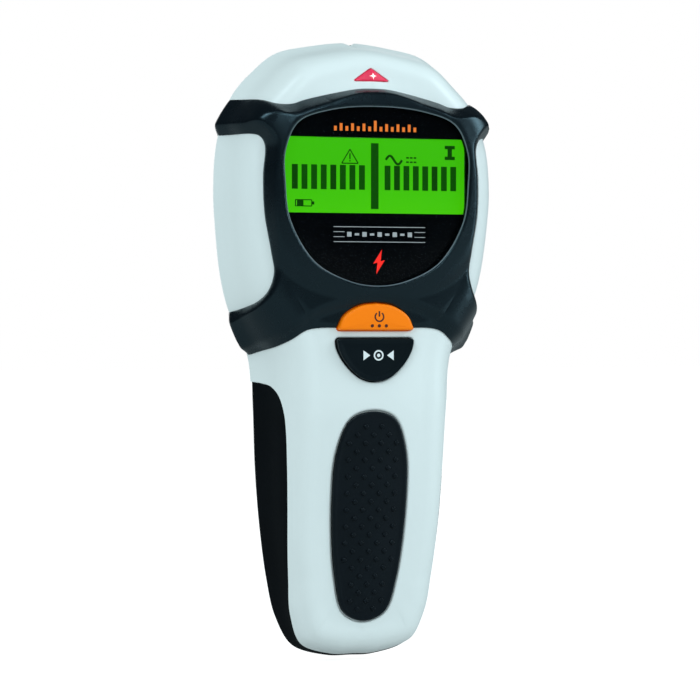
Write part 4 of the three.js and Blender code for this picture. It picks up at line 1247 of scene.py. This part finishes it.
# ------------------------------------------------------------------ back: glide plate and battery bay
def slab_profile(near, far, back_bevel, front_bevel=0.0):
    """Offset and depth steps of a slab with a rounded rim at its back and, if wanted, at its front."""
    steps = [(-back_bevel * (1 - s), near + back_bevel * (1 - c)) for s, c in quarter(4)]
    if front_bevel:
        return steps + [(-front_bevel * (1 - c), far - front_bevel * (1 - s)) for s, c in quarter(4)]
    return steps + [(0, far)]


def glide_plate():
    """A square plate with a slim round-bottomed groove inside its edge and a cross at its centre."""
    outline = round_box(0, 0, glide_box.width, glide_box.height, 7, 12)
    groove = [(-0.55, -1.0), (-0.55, -0.1), (-0.45, 0), (-0.27, 0.28), (0, 0.35), (0.27, 0.28), (0.45, 0),
              (0.55, -0.1), (0.55, -1.0)]
    plate = stepped(outline, slab_profile(0, glide_box.far, 0.35))
    cut(plate, stepped(offset(outline, -3.2), groove, joined=True))
    for width, height in ((0.8, 16), (16, 0.8)):
        arm = round_box(0, 0, width, height, 0.39, 6)
        cut(plate, stepped(arm, [(0.2, -1), (0.1, 0), (0, 0.3)]))
    return plate


def battery_cover():
    """The cover with its ribs, arrow, hinge barrel, catch and two stiffeners on the inside."""
    top, hinge_z = cover_box.high, pin_box.z
    middle, span = (top + hinge_z) / 2, top - hinge_z
    outline = round_box(0, middle, cover_box.width, span, 0.8, 5)
    cover = stepped(outline, slab_profile(SHELL_BACK, SHELL_BACK + 1.8, 0.3, 0.15))
    for k in range(6):
        slot = round_box(0, top - 8.5 - 2.4 * k, 17 - 1.1 * k, 1.1, 0.5, 5)
        cut(cover, stepped(slot, [(0.35, SHELL_BACK - 1), (0.15, SHELL_BACK), (-0.15, SHELL_BACK + 0.55)]))
    arrow = np.array([(0, top - 3.2), (2.6, top - 5.5), (-2.6, top - 5.5)])
    arrow = soften(resample_keeping(arrow, 0.3), arrow, 0.35, 4)
    cut(cover, stepped(arrow, [(0.2, SHELL_BACK - 1), (0.12, SHELL_BACK), (0, SHELL_BACK + 0.45)]))
    join(cover, bar_along_x(BARREL_RADIUS, 11.8, 48))
    join(cover, box(0, top - 1.6, 9, 1.2, SHELL_BACK + 1, SHELL_BACK + 4.6))
    nose = [(2.0, 3.4), (0.5, 3.4), (0.2, 3.8), (1.0, 4.6), (2.0, 4.6)]
    join(cover, side_prism([(top - drop, SHELL_BACK + up) for drop, up in nose], 4.5))
    for side in (-1, 1):
        cut(cover, box(side * 14.1, hinge_z, 4, 8, -1, 12))
        for x in (side * 9.6, side * 4.8):
            join(cover, box(x, middle - 2, 0.9, span - 14, SHELL_BACK + 1.5, SHELL_BACK + 2.0))
    return cut(cover, bar_along_x(pin_box.height / 2 + 0.3, 20, 32))


def hinge_pin():
    radius = pin_box.height / 2
    return join(bar_along_x(radius, 13.7, 32), bar_along_x(radius - 0.15, 14, 32))


finish_piece(glide_plate(), "glide_plate_skin", "glide", GLIDE, "glide_plate")
finish_piece(battery_cover(), "battery_cover_skin", "black_shell", BLACK, "battery_cover",
             body_name="battery_door")
finish_piece(hinge_pin(), "hinge_pin_rod", "steel", STEEL, "hinge_pin")


# ------------------------------------------------------------------ screws
def screw(node, head, shank, cross):
    """A pan-head screw with a domed head, a tapered cross recess and a turned thread."""
    spot = Extent(node)
    back, tip = spot.near, spot.far
    profile = [(0.02, back), (head * 0.45, back + 0.03), (head * 0.75, back + 0.16),
               (head * 0.93, back + 0.42), (head, back + 0.75), (head, back + 1.2),
               (shank * 0.8, back + 1.25)]
    turn = back + 1.6
    while turn < tip - 1.2:
        profile += [(shank * 0.8, turn), (shank, turn + 0.25), (shank * 0.8, turn + 0.5)]
        turn += 0.75
    piece = lathe([*profile, (shank * 0.75, tip - 0.8), (0.15, tip)], spot.x, spot.z, 40)
    for wide, tall in ((cross, 0.62), (0.62, cross)):
        slot = round_box(spot.x, spot.z, wide, tall, 0.12, 3)
        cut(piece, stepped(slot, [(0.12, back - 1), (0.08, back), (-0.18, back + 0.85)]))
    finish_piece(piece, f"{node}_steel", "steel", STEEL, node)


for n in range(1, 6):
    screw(f"case_screw_{n}", 2.5, 1.2, 3.0)
for n in range(1, 5):
    screw(f"board_screw_{n}", 1.9, 0.65, 2.3)


# ------------------------------------------------------------------ battery
cell_top = battery_box.high - 2.2
cell_section = round_box(0, 0, battery_box.width, battery_box.far - battery_box.near, 2.4, 8)


def upright(profile):
    """A shape standing along z in the battery's middle, over its section; profile holds offsets and z."""
    rings = []
    for out, z in profile:
        x, forward = offset(cell_section, out).T
        rings.append(np.stack([x, -(battery_box.depth + forward), np.full(len(x), z)], axis=1))
    return loft(rings)


def terminal(x, profile, sides):
    """A turned terminal on the battery's top; profile holds radii and heights over the top."""
    turn = np.arange(sides) * 2 * math.pi / sides
    return loft([np.stack([x + r * np.cos(turn), -battery_box.depth + r * np.sin(turn),
                           np.full(sides, cell_top + up)], axis=1) for r, up in profile])


def battery_body(radius=0.8):
    foot = [(-radius * (1 - s), battery_box.low + radius * (1 - c)) for s, c in quarter(5)]
    return upright(foot + [(-radius * (1 - c), cell_top - radius * (1 - s)) for s, c in quarter(5)])


STUD = [(2.9, -0.4), (2.9, 0.5), (2.3, 0.8), (2.3, 1.4), (2.75, 1.7), (2.75, 2.0), (2.5, 2.2)]
CUP = [(3.8, -0.4), (3.8, 1.9), (3.6, 2.2), (2.9, 2.2), (2.8, 0.5)]
TERMINAL_X = 6.35
finish_piece(battery_body(), "battery_body", "battery_case", CELL_BLUE, "battery")
finish_piece(upright([(0.03, cell_top - 13.5), (0.03, cell_top - 1.6)]), "battery_band", "battery_case",
             CELL_GOLD)
finish_piece(join(terminal(-TERMINAL_X, STUD, 32), terminal(TERMINAL_X, CUP, 6)), "battery_terminals",
             "steel", STEEL)


# ------------------------------------------------------------------ small pieces inside
def bevelled(node, slot_name, finish, width):
    """A copy of a CAD piece with its hard edges rounded over."""
    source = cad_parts[node]
    obj = source.copy()
    obj.data = source.data.copy()
    bpy.context.scene.collection.objects.link(obj)
    bm = bmesh.new()
    bm.from_mesh(obj.data)
    bmesh.ops.transform(bm, matrix=source.matrix_world, verts=bm.verts)
    bmesh.ops.remove_doubles(bm, verts=bm.verts, dist=1e-6)
    bmesh.ops.dissolve_limit(bm, angle_limit=math.radians(1), verts=bm.verts, edges=bm.edges)
    hard = [e for e in bm.edges if len(e.link_faces) == 2 and e.calc_face_angle(0) > math.radians(40)]
    bmesh.ops.bevel(bm, geom=hard, offset=width * MM, segments=2, profile=0.6, affect="EDGES",
                    clamp_overlap=True)
    bm.to_mesh(obj.data)
    bm.free()
    obj.matrix_world = Matrix()
    finish_piece(obj, f"{node}_soft", slot_name, finish, node)


for details in (
    ("battery_snap", "chip", CHIP, 0.5), ("battery_foam", "foam", FOAM, 0.2),
    ("microcontroller", "chip", CHIP, 0.15), ("signal_amplifier", "chip", CHIP, 0.12),
    ("crystal", "steel", STEEL, 0.3), ("buzzer", "chip", CHIP, 0.3), ("board_link", "chip", CHIP, 0.2),
    ("main_board", "board", BOARD, 0.12), ("sensor_board", "board", BOARD, 0.12),
):
    bevelled(*details)

discard(outer)
discard(inner)


# ------------------------------------------------------------------ stage, light and camera
BACKDROP = (1.0, 1.0, 1.0)
AMBIENT = (0.60, 0.72, 0.72)
FLOOR_LIGHT = (0.34, 0.40, 0.40)
MIRRORED = (0.034, 0.050, 0.060)
SKY = (0.78, 0.94, 1.0)


def ray_colour(tree, seen, diffuse, mirrored, socket):
    """Feeds a colour that differs between what is seen, what lights and what is mirrored."""
    rays = tree.nodes.new("ShaderNodeLightPath")
    lit = tree.nodes.new("ShaderNodeMix")
    shown = tree.nodes.new("ShaderNodeMix")
    lit.data_type = shown.data_type = "RGBA"
    lit.inputs["A"].default_value = (*mirrored, 1)
    lit.inputs["B"].default_value = (*diffuse, 1)
    shown.inputs["B"].default_value = (*seen, 1)
    tree.links.new(rays.outputs["Is Diffuse Ray"], lit.inputs["Factor"])
    tree.links.new(rays.outputs["Is Camera Ray"], shown.inputs["Factor"])
    tree.links.new(lit.outputs["Result"], shown.inputs["A"])
    tree.links.new(shown.outputs["Result"], socket)


def floor_material():
    mat = bpy.data.materials.new("floor_white")
    mat.use_nodes = True
    shader = mat.node_tree.nodes["Principled BSDF"]
    shader.inputs["Base Color"].default_value = (0.3, 0.3, 0.3, 1)
    shader.inputs["Roughness"].default_value = 0.9
    shader.inputs["Specular IOR Level"].default_value = 0.0
    shader.inputs["Emission Strength"].default_value = 1
    ray_colour(mat.node_tree, (0.9, 0.9, 0.9), FLOOR_LIGHT, MIRRORED, shader.inputs["Emission Color"])
    return mat


low_corner, high_corner = (Vector(corner) for corner in CAD_BOX)
floor_mesh = bpy.data.meshes.new("floor")
SPREAD = 6.0
corners = ((-1, -1), (1, -1), (1, 1), (-1, 1))
floor_mesh.from_pydata([(x * SPREAD, y * SPREAD, 0) for x, y in corners], [], [(0, 1, 2, 3)])
floor = add_object("floor", floor_mesh)
floor.location.z = low_corner.z - 0.0006
floor_mesh.materials.append(floor_material())

world = bpy.data.worlds.new("studio")
world.use_nodes = True
sky = world.node_tree.nodes["Background"].inputs["Color"]
ray_colour(world.node_tree, BACKDROP, AMBIENT, MIRRORED, sky)
bpy.context.scene.world = world


def area_light(name, at, size, power, colour=(1, 1, 1), spread=True, gloss=True):
    """A soft lamp aimed at the middle of the object; without spread it only shows as a highlight."""
    light = bpy.data.lights.new(name, "AREA")
    light.shape = "RECTANGLE"
    light.size, light.size_y = size
    light.energy = power
    light.color = colour
    lamp = add_object(name, light)
    lamp.location = at
    lamp.rotation_mode = "QUATERNION"
    lamp.rotation_quaternion = (CENTRE - Vector(at)).to_track_quat("-Z", "Y")
    lamp.visible_diffuse = spread
    lamp.visible_glossy = gloss


CENTRE = (low_corner + high_corner) / 2
area_light("key", (0.88, -0.55, 0.40), (0.35, 0.7), 4.8, SKY)
area_light("left", (-0.72, -0.72, 0.42), (0.3, 0.7), 3.2, SKY, gloss=False)
area_light("glint_left", (-0.50, -0.50, 0.70), (0.3, 0.3), 2.0, SKY, spread=False)
area_light("top", (0.0, -0.45, 0.9), (0.5, 0.2), 0.35, SKY)
area_light("back", (0.1, 1.0, 0.0), (0.8, 0.8), 3.0)
area_light("glint_top", (0.05, -0.84, 0.50), (0.1, 0.4), 1.2, SKY, spread=False)
area_light("glint_right", (0.86, -0.43, -0.25), (0.35, 0.3), 2.6, SKY, spread=False)

CAMERA_TURN = math.radians(20)
CAMERA_RISE = math.radians(0.5)
CAMERA_REACH = 1.0
CAMERA_AIM = Vector((-0.0032, -0.0138, -0.0518))
SENSOR = 36.0
LENS = 157.6
toward = Vector((-math.sin(CAMERA_TURN) * math.cos(CAMERA_RISE),
                 -math.cos(CAMERA_TURN) * math.cos(CAMERA_RISE), math.sin(CAMERA_RISE)))
camera_data = bpy.data.cameras.new("camera")
camera_data.sensor_width = SENSOR
camera_data.lens = LENS
camera_data.clip_start, camera_data.clip_end = 0.05, 50
camera = add_object("camera", camera_data)
camera.location = CAMERA_AIM + toward * CAMERA_REACH
camera.rotation_mode = "QUATERNION"
camera.rotation_quaternion = (-toward).to_track_quat("-Z", "Y")
bpy.context.scene.camera = camera
bpy.context.scene.view_settings.view_transform = "Standard"
bpy.context.scene.view_settings.look = "None"
